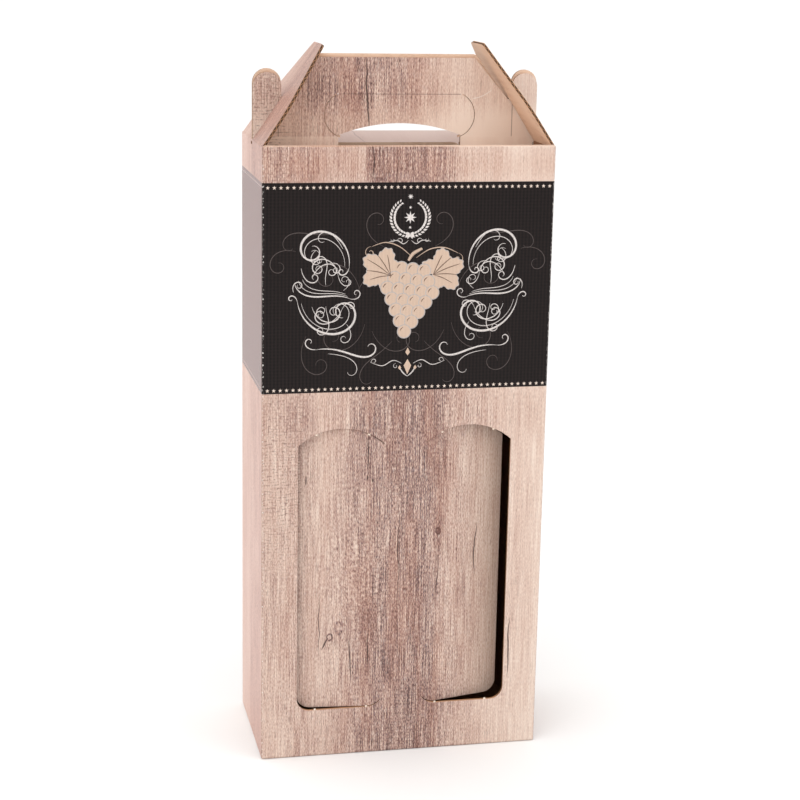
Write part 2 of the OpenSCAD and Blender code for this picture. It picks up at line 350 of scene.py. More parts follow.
@dataclass(frozen=True)
class Knot:
    """A knot in the printed timber: its place, its size, and how dark its heart is."""

    u: float
    v: float
    radius: float
    darkness: float


@dataclass(frozen=True)
class Crack:
    """A drying crack in the printed timber, from one height to another."""

    u: float
    foot: float
    top: float
    width: float
    drift: float = 0.0


@dataclass(frozen=True)
class Smudge:
    """A soft patch in the printed timber: its place, its half sizes and how strong it is."""

    u: float
    v: float
    wide: float
    high: float
    strength: float

    def over(self, u: Signal, v: Signal) -> Signal:
        """How strong the patch is over the two coordinates of the print."""
        return ((u - self.u) / self.wide).bell() * ((v - self.v) / self.high).bell() * self.strength


@dataclass(frozen=True)
class Grain:
    """A layer of noise: its fineness across and along the timber, its slice and its detail."""

    across: float
    along: float
    slice: float
    detail: float = 2.0
    bent: bool = True


class Across(Enum):
    """The axis that the printed grain lies across."""

    X = "x"
    Y = "y"


@dataclass(frozen=True)
class TimberPrint:
    """Board printed as weathered timber, with the dark band round the carton."""

    name: str
    across: Across
    board: Board
    profile: Levels
    upper_profile: Levels
    handle_profile: Levels = ((0.0, 0.2), (1.0, 0.2))
    knots: Sequence[Knot] = ()
    cracks: Sequence[Crack] = ()
    smudges: Sequence[Smudge] = ()
    seed: float = 0.0
    gloss: float = 0.13
    sheen: float = 0.0
    sheen_rough: float = 0.35
    relief_mm: float = 0.05
    # Painted light: the handle's foot is lightened over this reach and fade against the lock flaps' shade,
    # and the half tops against the valley's shade.
    foot_reach: float = 26.0
    foot_fade: float = 24.0
    foot_painted_light: float = 0.29
    valley_painted_light: float = 0.22
    under_band: Point = (198.0, 15.0)
    under_fold: Point = (336.0, 9.0)
    saw_pitch: float = 1.75
    sawn_edge: float = -57.0
    sawn_height: Point = (128.0, 62.0)
    handle_sawn_edge: float = -54.0
    scuff: Point = (42.0, 367.6)
    scuff_length: float = 12.0
    shade_top: float = 200.0
    tones: Sequence[tuple[float, Colour]] = (
        (0.0, srgb(234, 216, 202)),
        (0.28, srgb(215, 189, 174)),
        (0.52, srgb(191, 160, 147)),
        (0.76, srgb(158, 125, 116)),
        (1.0, srgb(102, 80, 78)),
    )
    sheen_tint: Colour = srgb(255, 146, 130)
    # Dark of the pores and saw marks, also laid as painted shade in the creases.
    grain_dark_and_crease_shade: Colour = srgb(92, 68, 62)
    cold: Colour = srgb(150, 142, 150)
    pale_line: Colour = srgb(243, 229, 216)
    crack: Colour = srgb(62, 46, 44)
    panel: Colour = srgb(203, 180, 174)
    shaded: Colour = srgb(142, 110, 86)
    tan: Colour = srgb(172, 112, 86)
    ink: Colour = srgb(20, 16, 16)
    warm_ink: Colour = srgb(36, 28, 27)
    side_line: Colour = srgb(196, 184, 178)
    worn: Colour = srgb(236, 230, 224)
    fold_line_brown: Colour = srgb(176, 128, 92)

    def build(self) -> bpy.types.Material:
        """Makes the printed board's material."""
        return TimberSheet(self).finish()


class TimberSheet(NodeSheet):
    """The nodes of one timber print, laid from the planks up to what is rubbed off the folds."""

    BROAD = Grain(0.05, 0.009, 1.0, 1.0)
    STREAK = Grain(0.30, 0.010, 5.0, 3.0)
    LINE = Grain(1.9, 0.042, 9.0, 3.0)
    FLECK = Grain(3.1, 0.55, 17.0)
    CLUSTER = Grain(0.16, 0.020, 21.0, 1.0)
    PORES = Grain(1.9, 0.13, 23.0)
    PALE = Grain(1.9, 0.21, 25.0)
    COLD = Grain(1.6, 0.30, 26.0, 1.0)
    WARM = Grain(0.12, 0.012, 51.0)
    SAW_BREAK = Grain(0.55, 0.6, 27.0, bent=False)
    SAW_DRIFT = Grain(0.10, 0.10, 28.0, bent=False)
    SAWN = Grain(0.032, 0.014, 29.0, 1.0, bent=False)
    FIBRE = Grain(2.0, 0.4, 31.0, bent=False)
    HAMMERED = Smudge(-26.0, 66.0, 17.0, 40.0, 1.3)

    def __init__(self, plan: TimberPrint) -> None:
        """Finds the place over the grain, which bends round the knots, and the planks.

        Args:
            plan: sizes and colours of the print.
        """
        super().__init__(plan.name)
        self.plan, self.board, self.on_front = plan, plan.board, plan.across is Across.X
        self.u = self.x if self.on_front else self.y
        self.v = self.z + self.y if self.on_front else self.z - abs(self.x)
        self.grain_u, self.heart = self.u, self.u * 0.0
        self._bend_round_knots()
        self._find_planks()
        self.coarse = self.plank * 1.30 + 0.12

    def _noise(self, layer: Grain) -> Signal:
        """One layer of noise over the print."""
        u = self.grain_u if layer.bent else self.u
        return self.cloud(u * layer.across, self.v * layer.along, self.plan.seed + layer.slice, layer.detail)

    def _bend_round_knots(self) -> None:
        """Spreads the grain round each knot and darkens the knot's heart."""
        for knot in self.plan.knots:
            off_u, off_v = self.u - knot.u, self.v - knot.v
            du, dv = off_u / (knot.radius * 2.2), off_v / (knot.radius * 5.0)
            near = (du * du + dv * dv).fade()
            self.grain_u = self.grain_u - off_u * near * 0.72
            du, dv = off_u / knot.radius, off_v / (knot.radius * 1.35)
            distance = self.math("SQRT", du * du + dv * dv)
            edge = ((distance - 0.95) * 3.6).bell() + (distance * 4.0).bell() * 0.35
            self.heart = self.heart + edge * knot.darkness + near * 0.16 * knot.darkness

    def _find_planks(self) -> None:
        """Works out how dark the planks are, and where the half tops and the handle are, with painted light
        on the handle's foot and on the half tops.
        """
        plan, board = self.plan, self.board
        half = board.half_w if self.on_front else board.half_d
        place = (self.u + half) / (2 * half)
        lower, upper = self.level(place, plan.profile), self.level(place, plan.upper_profile)
        up_band = (self.z - board.band_foot).rise(0.0, board.band_top - board.band_foot)
        self.plank = lower + (upper - lower) * up_band
        if not self.on_front:
            return
        half_tops = (board.half_d - 0.9 - abs(self.y)).rise(0.0, 0.8)
        half_tops = half_tops * (self.z - board.handle_foot_z).rise(0.0, 0.5)
        self.half_tops = half_tops * (board.height + 1.0 - self.z).rise(0.0, 0.5)
        self.on_handle = (self.z - board.height).rise(-1.0, -0.3).most(self.half_tops)
        self.plank = self.plank + (self.level(place, plan.handle_profile) - self.plank) * self.on_handle
        # Painted light: the handle's foot and the half tops in the valley are lightened against the shade
        # there.
        foot = (board.height + plan.foot_reach - self.z).rise(0.0, plan.foot_fade) * self.on_handle
        self.plank = self.plank - foot * plan.foot_painted_light - self.half_tops * plan.valley_painted_light

    def _lay_planks(self) -> None:
        """Colours the planks with their streaks, lines, flecks, knots and smudges."""
        broad, streak = self._noise(self.BROAD), self._noise(self.STREAK)
        fine = self._noise(self.LINE) * 2.1 + self._noise(self.FLECK) * 2.2
        tone = self.plank + broad * 0.40 + streak * 0.36 + self.coarse * fine + self.heart
        if self.on_front:
            height, reach = self.plan.under_band
            tone = tone + ((self.z - height) / reach).bell() * (0.62 - self.plank) * 0.34
            for smudge in self.plan.smudges:
                tone = tone + smudge.over(self.u, self.v)
            dents = self.cloud(self.u * 0.62 + self.v * 0.30, self.v * 0.44, self.plan.seed + 33.0)
            tone = tone + self.HAMMERED.over(self.u, self.v) * dents
        self.colour = self.ramp(tone, self.plan.tones)

    def _lay_fibres(self) -> None:
        """Lays dark pores, pale lines and a cold tint along the grain."""
        pores = self._noise(self.PORES).rise(0.07, 0.22) * self._noise(self.CLUSTER).rise(-0.14, 0.12)
        self.cover(pores * self.coarse * 0.9, self.plan.grain_dark_and_crease_shade)
        self.cover(self._noise(self.PALE).rise(0.08, 0.26) * (self.coarse * 0.45 + 0.12), self.plan.pale_line)
        self.cover(self._noise(self.COLD).rise(0.04, 0.2) * self.coarse * 0.24, self.plan.cold)

    def _lay_saw_marks(self) -> None:
        """Lays short marks across the grain, as a saw leaves them."""
        saw = self.math("SINE", self.v * (TURN / self.plan.saw_pitch) + self._noise(self.SAW_DRIFT) * 16.0)
        marks = saw.rise(0.1, 0.9) * self._noise(self.SAW_BREAK).rise(-0.08, 0.16)
        sawn = self._noise(self.SAWN).rise(-0.02, 0.14) * self.plank.rise(0.4, 0.7)
        if self.on_front:
            height, reach = self.plan.sawn_height
            beside = (self.plan.sawn_edge - self.u).rise(-3.0, 2.0) * ((self.v - height) / reach).bell()
            on_handle = (self.plan.handle_sawn_edge - self.u).rise(-2.0, 12.0) * self.on_handle
            sawn = sawn.most(beside).most(on_handle)
        self.cover(marks * sawn * 0.55, self.plan.grain_dark_and_crease_shade)

    def _lay_stains(self) -> None:
        """Tans the front under its folds and in warm streaks, and paints shade on the flap that stands in,
        darker the deeper it stands.
        """
        height, reach = self.plan.under_fold
        strip = ((self.z - height) / reach).bell() * (self.board.height - self.z).rise(-1.0, 0.0)
        warm = self._noise(self.WARM).rise(-0.08, 0.16) * self.plank
        self.cover(strip * 0.18 + warm * 0.30, self.plan.tan)
        # Painted shade: the window flap darkens with its depth behind the wall, where less light reaches it.
        painted_flap_shade = (self.y + self.board.half_d - 3.5).rise(0.0, 9.0) * (-self.y - 10.0).rise(0.0, 5.0)
        self.cover(painted_flap_shade * (self.plan.shade_top - self.z).rise(0.0, 5.0) * 0.36, self.plan.shaded)

    def _lay_cracks(self) -> None:
        """Draws the drying cracks, which wander and taper."""
        wander = self.cloud(0.0, self.v * 0.055, self.plan.seed + 37.0) * 3.8
        total: Number = 0.0
        for crack in self.plan.cracks:
            along = (self.v - crack.foot) / (crack.top - crack.foot)
            shape = (along * (1.0 - along) * 4.0).most(0.0)
            off = abs(self.u - crack.u - wander - along * crack.drift) / (crack.width * 0.5)
            total = (1.25 - off / (shape + 0.02)).rise(0.0, 0.6) * shape.rise(0.0, 0.12) + total
        self.cover(total * 0.85, self.plan.crack)

    def _lay_handle_marks(self) -> None:
        """Draws the grey back half top, painted shade along the creases by the notches and over the tongue, a
        scuff on the handle and a brown line along the top folds.
        """
        board, plan, x, y, z = self.board, self.plan, self.x, self.y, self.z
        self.cover(self.half_tops * y.rise(2.5, 3.0) * 0.75, plan.panel)
        layers = (z - board.height).rise(0.4, 1.2) * (2.4 - abs(y)).rise(0.0, 0.4)
        # Painted shade: dark lines where the creases by the notches fold.
        pressed_crease_shade = (0.42 - abs(abs(x) - board.notch_x)).rise(0.0, 0.3) * (board.notch_z - z).rise(0.0, 1.0)
        self.cover(pressed_crease_shade * layers * 0.55, plan.grain_dark_and_crease_shade)
        along = x - plan.scuff[0]
        scuff = (0.45 - abs(z - plan.scuff[1] - along * along * 0.035)).rise(0.0, 0.35)
        scuff = scuff * along.rise(0.0, 2.0) * (plan.scuff_length - along).rise(0.0, 1.0)
        self.cover(scuff * layers * 0.6, plan.worn)
        # Painted shade: a dark line along the tongue's crease.
        crease = (0.26 - abs(z - board.tongue_z)).rise(0.0, 0.18) * (-y).rise(0.0, 0.5)
        self.cover(crease * (board.tongue_half - abs(x - board.grip_x)).rise(0.0, 0.6) * 0.7, plan.grain_dark_and_crease_shade)
        # A brown line along the top folds.
        fold = ((z - board.height + 0.25) / 0.35).bell() * (abs(y) - board.half_d + 2.4).rise(0.0, 0.6)
        self.cover(fold * 0.55, plan.fold_line_brown)

    def _lay_band(self) -> None:
        """Lays the dark band over the timber, on the sides with a thin pale line along its edges."""
        above_foot, below_top = self.z - self.board.band_foot, self.board.band_top - self.z
        self.inked = above_foot.rise(-0.12, 0.12) * below_top.rise(-0.12, 0.12)
        weave = self.u.wave(self.board.rib_pitch) * 0.34 + self.z.wave(self.board.flute_pitch / 2) * 0.14
        mottle = self.cloud(self.u * 0.5, self.z * 0.5, self.plan.seed + 41.0) * 0.5
        ink = self.blend(weave + mottle + 0.5, self.plan.ink, self.plan.warm_ink)
        if not self.on_front:
            line = (0.34 - abs(above_foot.least(below_top) - 2.2)).rise(0.0, 0.2)
            ink = self.blend(line * 0.6, ink, self.plan.side_line)
        self.cover(self.inked, ink)

    def _wear_folds(self) -> None:
        """Rubs the ink off the upright folds in flecks."""
        near_x, near_y = abs(self.x) - self.board.half_w, abs(self.y) - self.board.half_d
        fold = near_x.rise(-1.2, -0.7) * near_y.rise(-0.9, -0.4)
        flecks = self.cloud(self.z * 0.75, (self.x + self.y) * 2.0, self.plan.seed + 47.0, 3.0)
        self.rubbed = fold * flecks.rise(0.05, 0.13)
        self.cover(self.rubbed * 0.95, self.plan.worn)

    def finish(self) -> bpy.types.Material:
        """Lays all the layers and feeds the shader.

        Returns:
            The printed board's material.
        """
        self._lay_planks()
        self._lay_fibres()
        self._lay_saw_marks()
        self.cover((self.heart - 0.45).rise(0.0, 0.5) * 0.6, self.plan.crack)
        if self.on_front:
            self._lay_stains()
            self._lay_cracks()
            self._lay_handle_marks()
        self._lay_band()
        self._wear_folds()
        fibre = self._noise(self.FIBRE)
        relief = self.z.wave(self.board.flute_pitch) * 0.16 + fibre * 0.5 + 0.5
        roughness = 0.34 - self.inked * 0.11 + fibre * 0.12 + self.rubbed * 0.3
        sheen = {"Weight": self.plan.sheen, "Roughness": self.plan.sheen_rough, "Tint": self.plan.sheen_tint}
        for name, value in sheen.items():
            self._feed(self.shader.inputs[f"Sheen {name}"], value)
        return self.close(roughness, relief, self.plan.relief_mm, self.plan.gloss)


@dataclass(frozen=True)
class KraftLiner:
    """The unprinted brown liner on the inside of the board."""

    name: str = "kraft_liner"
    board: Board = Board()
    base: Colour = srgb(230, 200, 176)
    dark: Colour = srgb(210, 175, 150)
    pale: Colour = srgb(240, 216, 196)

    def build(self) -> bpy.types.Material:
        """Makes the material, with long fibres and the faint lines of the flutes.

        Returns:
            The liner's material.
        """
        sheet = NodeSheet(self.name, self.base)
        around = sheet.x + sheet.y
        fibre = sheet.cloud(around * 0.5, sheet.z * 2.2, 3.0, 3.0)
        blotch = sheet.cloud(around * 0.06, sheet.z * 0.06, 7.0)
        wave = sheet.z.wave(self.board.flute_pitch)
        sheet.cover((blotch + fibre * 0.8 + wave * 0.05).rise(-0.05, 0.35), self.dark)
        sheet.cover(fibre.rise(0.1, 0.3) * 0.5, self.pale)
        return sheet.close(0.82 + fibre * 0.2, wave * 0.25 + fibre * 0.6 + 0.5, 0.06, 0.3)


Place = Callable[[NodeSheet], tuple[Signal, Signal]]


@dataclass(frozen=True)
class CutEdge:
    """A die-cut edge through the board: two liners, and the flutes between them."""

    name: str
    place: Place
    board: Board
    open_flutes: bool = True
    core: float = 0.34
    # groove sets how deep the groove along a flute is and how much painted shade it takes.
    groove: float = 0.35
    liner: Colour = srgb(222, 196, 170)
    kraft: Colour = srgb(198, 150, 112)
    flute: Colour = srgb(178, 132, 98)
    cell_shade_and_fibre: Colour = srgb(58, 38, 26)

    def build(self) -> bpy.types.Material:
        """Makes the material.

        Returns:
            The cut edge's material, with painted shade in its open cells or, along a flute, in a shallow
            groove.
        """
        sheet = NodeSheet(self.name, self.flute)
        depth, along = self.place(sheet)
        fibre = sheet.cloud(along * 1.3, depth * 3.0, 5.0, 3.0)
        off_middle = abs(depth - 0.5)
        open_part = (self.core - off_middle).rise(0.0, 0.06)
        if self.open_flutes:
            flute = along.wave(self.board.flute_pitch) * 0.30 + 0.5
            open_part = open_part * (1.0 - (0.13 - abs(depth - flute)).rise(0.0, 0.05))
            # Painted shade: the open flute cells are darkened.
            sheet.cover(open_part * 0.94, self.cell_shade_and_fibre)
        else:
            open_part = open_part * self.groove
            sheet.cover(fibre.rise(-0.1, 0.25) * 0.5, self.kraft)
            # Painted shade in the groove, strong for a high groove such as the grip's.
            sheet.cover((self.groove - 0.35) * 1.4, self.cell_shade_and_fibre)
        skin = sheet.blend(depth.rise(0.4, 0.6), self.liner, self.kraft)
        sheet.cover((off_middle - self.core - 0.02).rise(0.0, 0.04), skin)
        sheet.cover(fibre.rise(0.05, 0.3) * 0.35, self.cell_shade_and_fibre)
        return sheet.close(0.85 + fibre * 0.1, 1.0 - open_part + fibre * 0.3, 0.10, 0.25)


@dataclass(frozen=True)
class PrintedInk:
    """One colour of ink on the band, with the fine ribs of the board showing through."""

    name: str
    colour: Colour
    shade: Colour
    board: Board = Board()

    def build(self) -> bpy.types.Material:
        """Makes the material.

        Returns:
            The ink's material.
        """
        sheet = NodeSheet(self.name, self.colour)
        speck = sheet.cloud(sheet.x * 1.8, sheet.z * 1.8, 2.0)
        sheet.cover(sheet.x.wave(self.board.rib_pitch) * 0.125 + speck * 0.9 + 0.2, self.shade)
        return sheet.close(0.42 + speck * 0.2, speck + 0.5, 0.01, 0.5)


@dataclass(frozen=True)
class CartonFace:
    """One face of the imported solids: its centre in millimetres and the way it looks."""

    board: Board
    at: Vector
    way: Vector

    @property
    def side(self) -> int:
        """-1 on the left of the middle, 1 on the right."""
        return -1 if self.at.x < 0 else 1

    @property
    def lean_deg(self) -> float:
        """The angle that the lock flap on the face's side leans by."""
        return self.board.left_lean_deg if self.side < 0 else self.board.right_lean_deg

    @property
    def on_lock_flap(self) -> bool:
        """Whether a face near the middle plane is on a lock flap and not on the handle."""
        depth, _ = self.board.from_lock_fold(abs(self.at.x), self.at.z, self.lean_deg)
        return -0.1 < depth < 1.1 and self.at.z > self.board.notch_z + 0.6

    def on_window(self) -> str:
        """Chooses for a window flap's face.

        Returns:
            The finish's name.
        """
        rest = math.radians(self.board.left_rest_deg if self.side < 0 else self.board.right_rest_deg)
        outward = self.way.dot(Vector((math.sin(rest) * self.side, -math.cos(rest), 0.0)))
        if outward > 0.9:
            return "print_across_x"
        if outward < -0.5:
            return "kraft_liner"
        if abs(self.way.z) > 0.85:
            return "cut_along_flute"
        return "cut_left_window" if self.side < 0 else "cut_right_window"

    def on_handle(self) -> str:
        """Chooses for a face of the handle layers or the tongue.

        Returns:
            The finish's name.
        """
        if self.way.y * math.copysign(1, self.at.y) > 0.9:
            return "print_across_x"
        if abs(self.way.y) > 0.4:
            return "kraft_liner"
        return "cut_handle_top" if abs(self.way.z) > 0.93 else "cut_handle"

    def on_lock(self) -> str:
        """Chooses for a lock flap's face.

        Returns:
            The finish's name.
        """
        lean = math.radians(self.lean_deg)
        outward = self.way.dot(Vector((math.sin(lean) * self.side, 0.0, math.cos(lean))))
        if outward > 0.55:
            return "print_across_y"
        if outward < -0.9:
            return "kraft_liner"
        return "cut_left_lock" if self.side < 0 else "cut_right_lock"

    def on_carton(self) -> str:
        """Chooses for a face of the folded carton.

        Returns:
            The finish's name.
        """
        board, at, way = self.board, self.at, self.way
        depth_x, depth_y = board.half_w - abs(at.x), board.half_d - abs(at.y)
        over_folds = at.z > board.height + 1.2
        in_valley = at.z > board.valley_z and depth_x > 2.2 and abs(at.y) < 4.0
        if (over_folds or in_valley) and abs(at.y) < 1.9 and not self.on_lock_flap:
            return self.on_handle()
        if over_folds:
            return self.on_lock()
        on_foot = at.z < board.thickness and way.z < -0.1 and min(depth_x, depth_y) < board.thickness
        if at.z < 0.05 or on_foot:
            return "print_across_x" if abs(way.x) < 0.7 else "print_across_y"
        if depth_y < 0.5 and way.y * math.copysign(1, at.y) > 0.1 and abs(way.x) < 0.75:
            return "print_across_x"
        if depth_x < 0.5 and way.x * self.side > 0.1:
            return "print_across_y"
        if at.z > board.slope_z and way.z > 0.5:
            return "print_across_y" if depth_x < 2.0 and abs(way.x) > 0.05 else "print_across_x"
        if 0.0 < depth_y < board.thickness and abs(way.y) < 0.15 and at.z < board.height - 8:
            return "cut_along_flute" if abs(way.z) > 0.85 else "cut_wall"
        if 4.0 < at.y < 12.0 and abs(way.z) < 0.3 and board.pivot_z - 0.4 < at.z < board.height:
            return "cut_grip"
        # The inner faces of the walls and the floor take the darker liner: painted shade for the inside of
        # the box.
        inside = min(depth_x, depth_y) < board.thickness + 0.1 or at.z < 8.0
        return "kraft_inside" if inside and at.z < board.pivot_z else "kraft_liner"


@dataclass
class CartonFinish:
    """Makes the finishes of the carton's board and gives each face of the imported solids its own."""

    board: Board
    nodes: dict[str, bpy.types.Object]
    slots: dict[str, bpy.types.Material] = field(default_factory=dict)

    LOWER_FRONT = (
        (0.0, 0.34), (0.06, 0.38), (0.12, 0.44), (0.20, 0.34), (0.28, 0.46), (0.34, 0.58), (0.40, 0.69),
        (0.48, 0.69), (0.55, 0.73), (0.62, 0.67), (0.67, 0.53), (0.73, 0.43), (0.82, 0.29), (1.0, 0.15),
    )
    UPPER_FRONT = (
        (0.0, 0.60), (0.08, 0.60), (0.17, 0.56), (0.21, 0.38), (0.33, 0.40), (0.38, 0.80), (0.43, 0.72),
        (0.50, 0.76), (0.56, 0.72), (0.62, 0.59), (0.67, 0.38), (0.75, 0.28), (0.86, 0.19), (1.0, 0.17),
    )
    HANDLE_FRONT = (
        (0.0, 0.44), (0.10, 0.46), (0.19, 0.66), (0.30, 0.65), (0.36, 0.72), (0.40, 0.72), (0.45, 0.58),
        (0.52, 0.59), (0.58, 0.53), (0.63, 0.37), (0.68, 0.26), (0.80, 0.20), (0.90, 0.12), (1.0, 0.12),
    )
    SIDE_TONES = (
        (0.0, srgb(226, 203, 189)), (0.28, srgb(206, 175, 159)), (0.52, srgb(184, 151, 136)),
        (0.76, srgb(150, 115, 105)), (1.0, srgb(98, 74, 70)),
    )
    SIDE_PROFILE = ((0.0, 0.38), (0.3, 0.42), (0.52, 0.38), (0.6, 0.22), (1.0, 0.20))
    LOCK_PROFILE = ((0.0, 0.48), (0.3, 0.54), (0.46, 0.62), (0.55, 0.34), (1.0, 0.24))
    KNOTS = (Knot(20.0, 90.2, 1.35, 0.95), Knot(-41.0, 31.0, 1.5, 0.6), Knot(-35.5, 36.0, 2.6, 0.3))
    CRACKS = (
        Crack(-15.5, 346.0, 390.0, 1.0, -2.0), Crack(-20.5, 284.0, 306.0, 0.7),
        Crack(-21.0, 126.0, 148.0, 0.7), Crack(42.5, 66.0, 99.0, 0.8, 1.0), Crack(62.5, -2.0, 36.0, 0.9),
        Crack(-54.6, 121.0, 127.0, 0.8), Crack(-3.0, 44.0, 108.0, 0.5), Crack(-7.5, 250.0, 304.0, 0.5),
        Crack(-47.0, 20.0, 58.0, 0.5), Crack(-20.6, 121.0, 123.6, 1.0), Crack(-17.8, 119.0, 121.4, 1.0),
        Crack(19.0, 48.0, 78.0, 0.45, 1.5), Crack(-29.0, 2.0, 32.0, 0.7, -1.0),
        Crack(-19.5, 12.0, 33.0, 0.7), Crack(-45.0, 24.0, 31.0, 1.1, 3.0),
    )
    SMUDGES = (
        Smudge(-20.0, 40.0, 6.5, 20.0, 0.16), Smudge(-26.0, 14.0, 1.5, 14.0, 0.16),
        Smudge(20.3, 84.0, 1.2, 7.0, 0.32), Smudge(21.6, 95.5, 1.4, 4.0, 0.26),
        Smudge(-6.0, 18.0, 4.0, 26.0, 0.10),
    )

    def make_materials(self) -> None:
        """Makes the finishes that the faces choose from."""
        board = self.board
        plans: tuple[Union[TimberPrint, KraftLiner, CutEdge], ...] = (
            TimberPrint(
                "print_across_x", Across.X, board, self.LOWER_FRONT, self.UPPER_FRONT, self.HANDLE_FRONT,
                self.KNOTS, self.CRACKS, self.SMUDGES,
            ),
            TimberPrint(
                "print_across_y", Across.Y, board, self.SIDE_PROFILE, self.LOCK_PROFILE, seed=60.0,
                gloss=0.34, sheen=0.2, ink=srgb(40, 28, 26), warm_ink=srgb(54, 41, 38), tones=self.SIDE_TONES,
            ),
            KraftLiner(),
            # A darker copy of the liner for the faces inside the carton: painted shade for the dark inside of
            # the box.
            KraftLiner("kraft_inside", board, srgb(150, 110, 82), srgb(128, 92, 66), srgb(172, 134, 104)),
            CutEdge("cut_wall", self._wall_place, board),
            CutEdge("cut_handle", self._handle_place, board),
            CutEdge("cut_left_lock", self._lock_place(-1, board.left_lean_deg), board, core=0.46),
            CutEdge("cut_right_lock", self._lock_place(1, board.right_lean_deg), board, core=0.40),
            CutEdge("cut_grip", self._top_place, board, open_flutes=False, core=0.32, groove=0.95),
            CutEdge("cut_left_window", self._window_place(-1, board.left_rest_deg), board),
            CutEdge("cut_right_window", self._window_place(1, board.right_rest_deg), board),
            CutEdge("cut_along_flute", self._wall_place, board, open_flutes=False),
            CutEdge("cut_handle_top", self._handle_place, board, open_flutes=False),
        )
        for plan in plans:
            self.slots[plan.name] = plan.build()

    def _wall_place(self, sheet: NodeSheet) -> tuple[Signal, Signal]:
        """Depth through a wall's board and height on it."""
        return (self.board.half_d - abs(sheet.y)) / self.board.thickness, sheet.z

    def _handle_place(self, sheet: NodeSheet) -> tuple[Signal, Signal]:
        """Depth through either handle layer from its printed face, and height on it."""
        return 1.0 - (abs(sheet.y) - self.board.layer_gap) / self.board.thickness, sheet.z

    def _top_place(self, sheet: NodeSheet) -> tuple[Signal, Signal]:
        """Depth through a half top's board and place along it."""
        return (self.board.height - sheet.z) / self.board.thickness, sheet.x

    def _lock_place(self, side: int, lean_deg: float) -> Place:
        """How to measure depth and length on a lock flap that leans as given."""
        return lambda sheet: self.board.from_lock_fold(sheet.x * float(side), sheet.z, lean_deg)

    def _window_place(self, side: int, rest_deg: float) -> Place:
        """How to measure depth and height on a window flap.

        Args:
            side: -1 for the left flap, 1 for the right one.
            rest_deg: angle that the flap stands in by.

        Returns:
            The function that measures.
        """
        rest, board = math.radians(rest_deg), self.board

        def place(sheet: NodeSheet) -> tuple[Signal, Signal]:
            """Measures from the flap's crease."""
            outward, inward = sheet.x * float(side) - board.crease_x, sheet.y + board.half_d
            return (inward * math.cos(rest) - outward * math.sin(rest)) / board.thickness, sheet.z

        return place

    def dress(self) -> None:
        """Fills the slots of each node and gives each face its slot."""
        choosers: dict[str, Callable[[CartonFace], str]] = {
            "carton": CartonFace.on_carton,
            "left_window_flap": CartonFace.on_window,
            "right_window_flap": CartonFace.on_window,
            "grip_tongue": CartonFace.on_handle,
        }
        for name, choose in choosers.items():
            mesh = self.nodes[name].data
            faces = (CartonFace(self.board, face.center / MM, face.normal.copy()) for face in mesh.polygons)
            chosen = [choose(face) for face in faces]
            used = sorted(set(chosen))
            mesh.materials.clear()
            for slot in used:
                mesh.materials.append(self.slots[slot])
            for face, slot in zip(mesh.polygons, chosen):
                face.material_index = used.index(slot)
            LOG.info("%s: %d faces in %s", name, len(chosen), ", ".join(used))


def polar(centre: Point, radius: float, way_deg: float) -> Point:
    """The point at a distance from a centre, in a direction counted counterclockwise from the right."""
    way = math.radians(way_deg)
    return centre[0] + radius * math.cos(way), centre[1] + radius * math.sin(way)


def ring(centre: Point, radii: Sequence[float], count: int, start_deg: float = 0.0) -> list[Point]:
    """Points round a centre, counterclockwise, whose distances from it take turns.

    Args:
        centre: the centre.
        radii: distances, used one after the other.
        count: number of points.
        start_deg: direction of the first point.

    Returns:
        The points.
    """
    return [polar(centre, radii[i % len(radii)], start_deg + 360 / count * i) for i in range(count)]


@dataclass(frozen=True)
class Stroke:
    """A pen stroke that swells in its middle: its points and its two widths."""

    points: Sequence[Point]
    middle: float
    ends: float

    def width(self, share: float) -> float:
        """Width at a share of the stroke's length."""
        return self.ends + (self.middle - self.ends) * math.sin(math.pi * share) ** 0.8

    def mirrored(self) -> "Stroke":
        """The same stroke on the other side of the middle."""
        return Stroke([(-x, z) for x, z in self.points], self.middle, self.ends)


def swash(points: Sequence[Point], middle: float, ends: float = 0.10, steps: int = 12) -> Stroke:
    """A smooth stroke through the given points.

    Args:
        points: points that the stroke passes, at least two.
        middle: width in its middle.
        ends: width at its ends.
        steps: short pieces between two points.

    Returns:
        The stroke.
    """
    padded = [points[0], *points, points[-1]]
    out: list[Point] = []
    for a, b, c, d in zip(padded, padded[1:], padded[2:], padded[3:]):
        for t in (i / steps for i in range(steps)):
            out.append(tuple(
                0.5 * (2 * b[k] + (c[k] - a[k]) * t + (2 * a[k] - 5 * b[k] + 4 * c[k] - d[k]) * t**2
                       + (3 * b[k] - a[k] - 3 * c[k] + d[k]) * t**3)
                for k in (0, 1)
            ))
    return Stroke([*out, points[-1]], middle, ends)


def flourish(
    start: Point, heading_deg: float, length: float, bend: float, tight: float, middle: float, late: float,
    ends: float = 0.16,
) -> Stroke:
    """A stroke whose bend tightens along the way, as a pen's does that ends in a curl.

    Args:
        start: where the pen sets down.
        heading_deg: direction in which it sets off.
        length: length of the stroke.
        bend: bend at the start, in degrees on each millimetre, clockwise where negative.
        tight: bend at the end.
        middle: width in its middle.
        late: how late along the stroke the bend tightens.
        ends: width at its ends.

    Returns:
        The stroke.
    """
    steps = max(12, int(length * 1.1))
    points, heading, step = [start], heading_deg, length / steps
    for i in range(steps):
        heading += (bend + (tight - bend) * ((i + 0.5) / steps) ** late) * step
        points.append(polar(points[-1], step, heading))
    return Stroke(points, middle, ends)


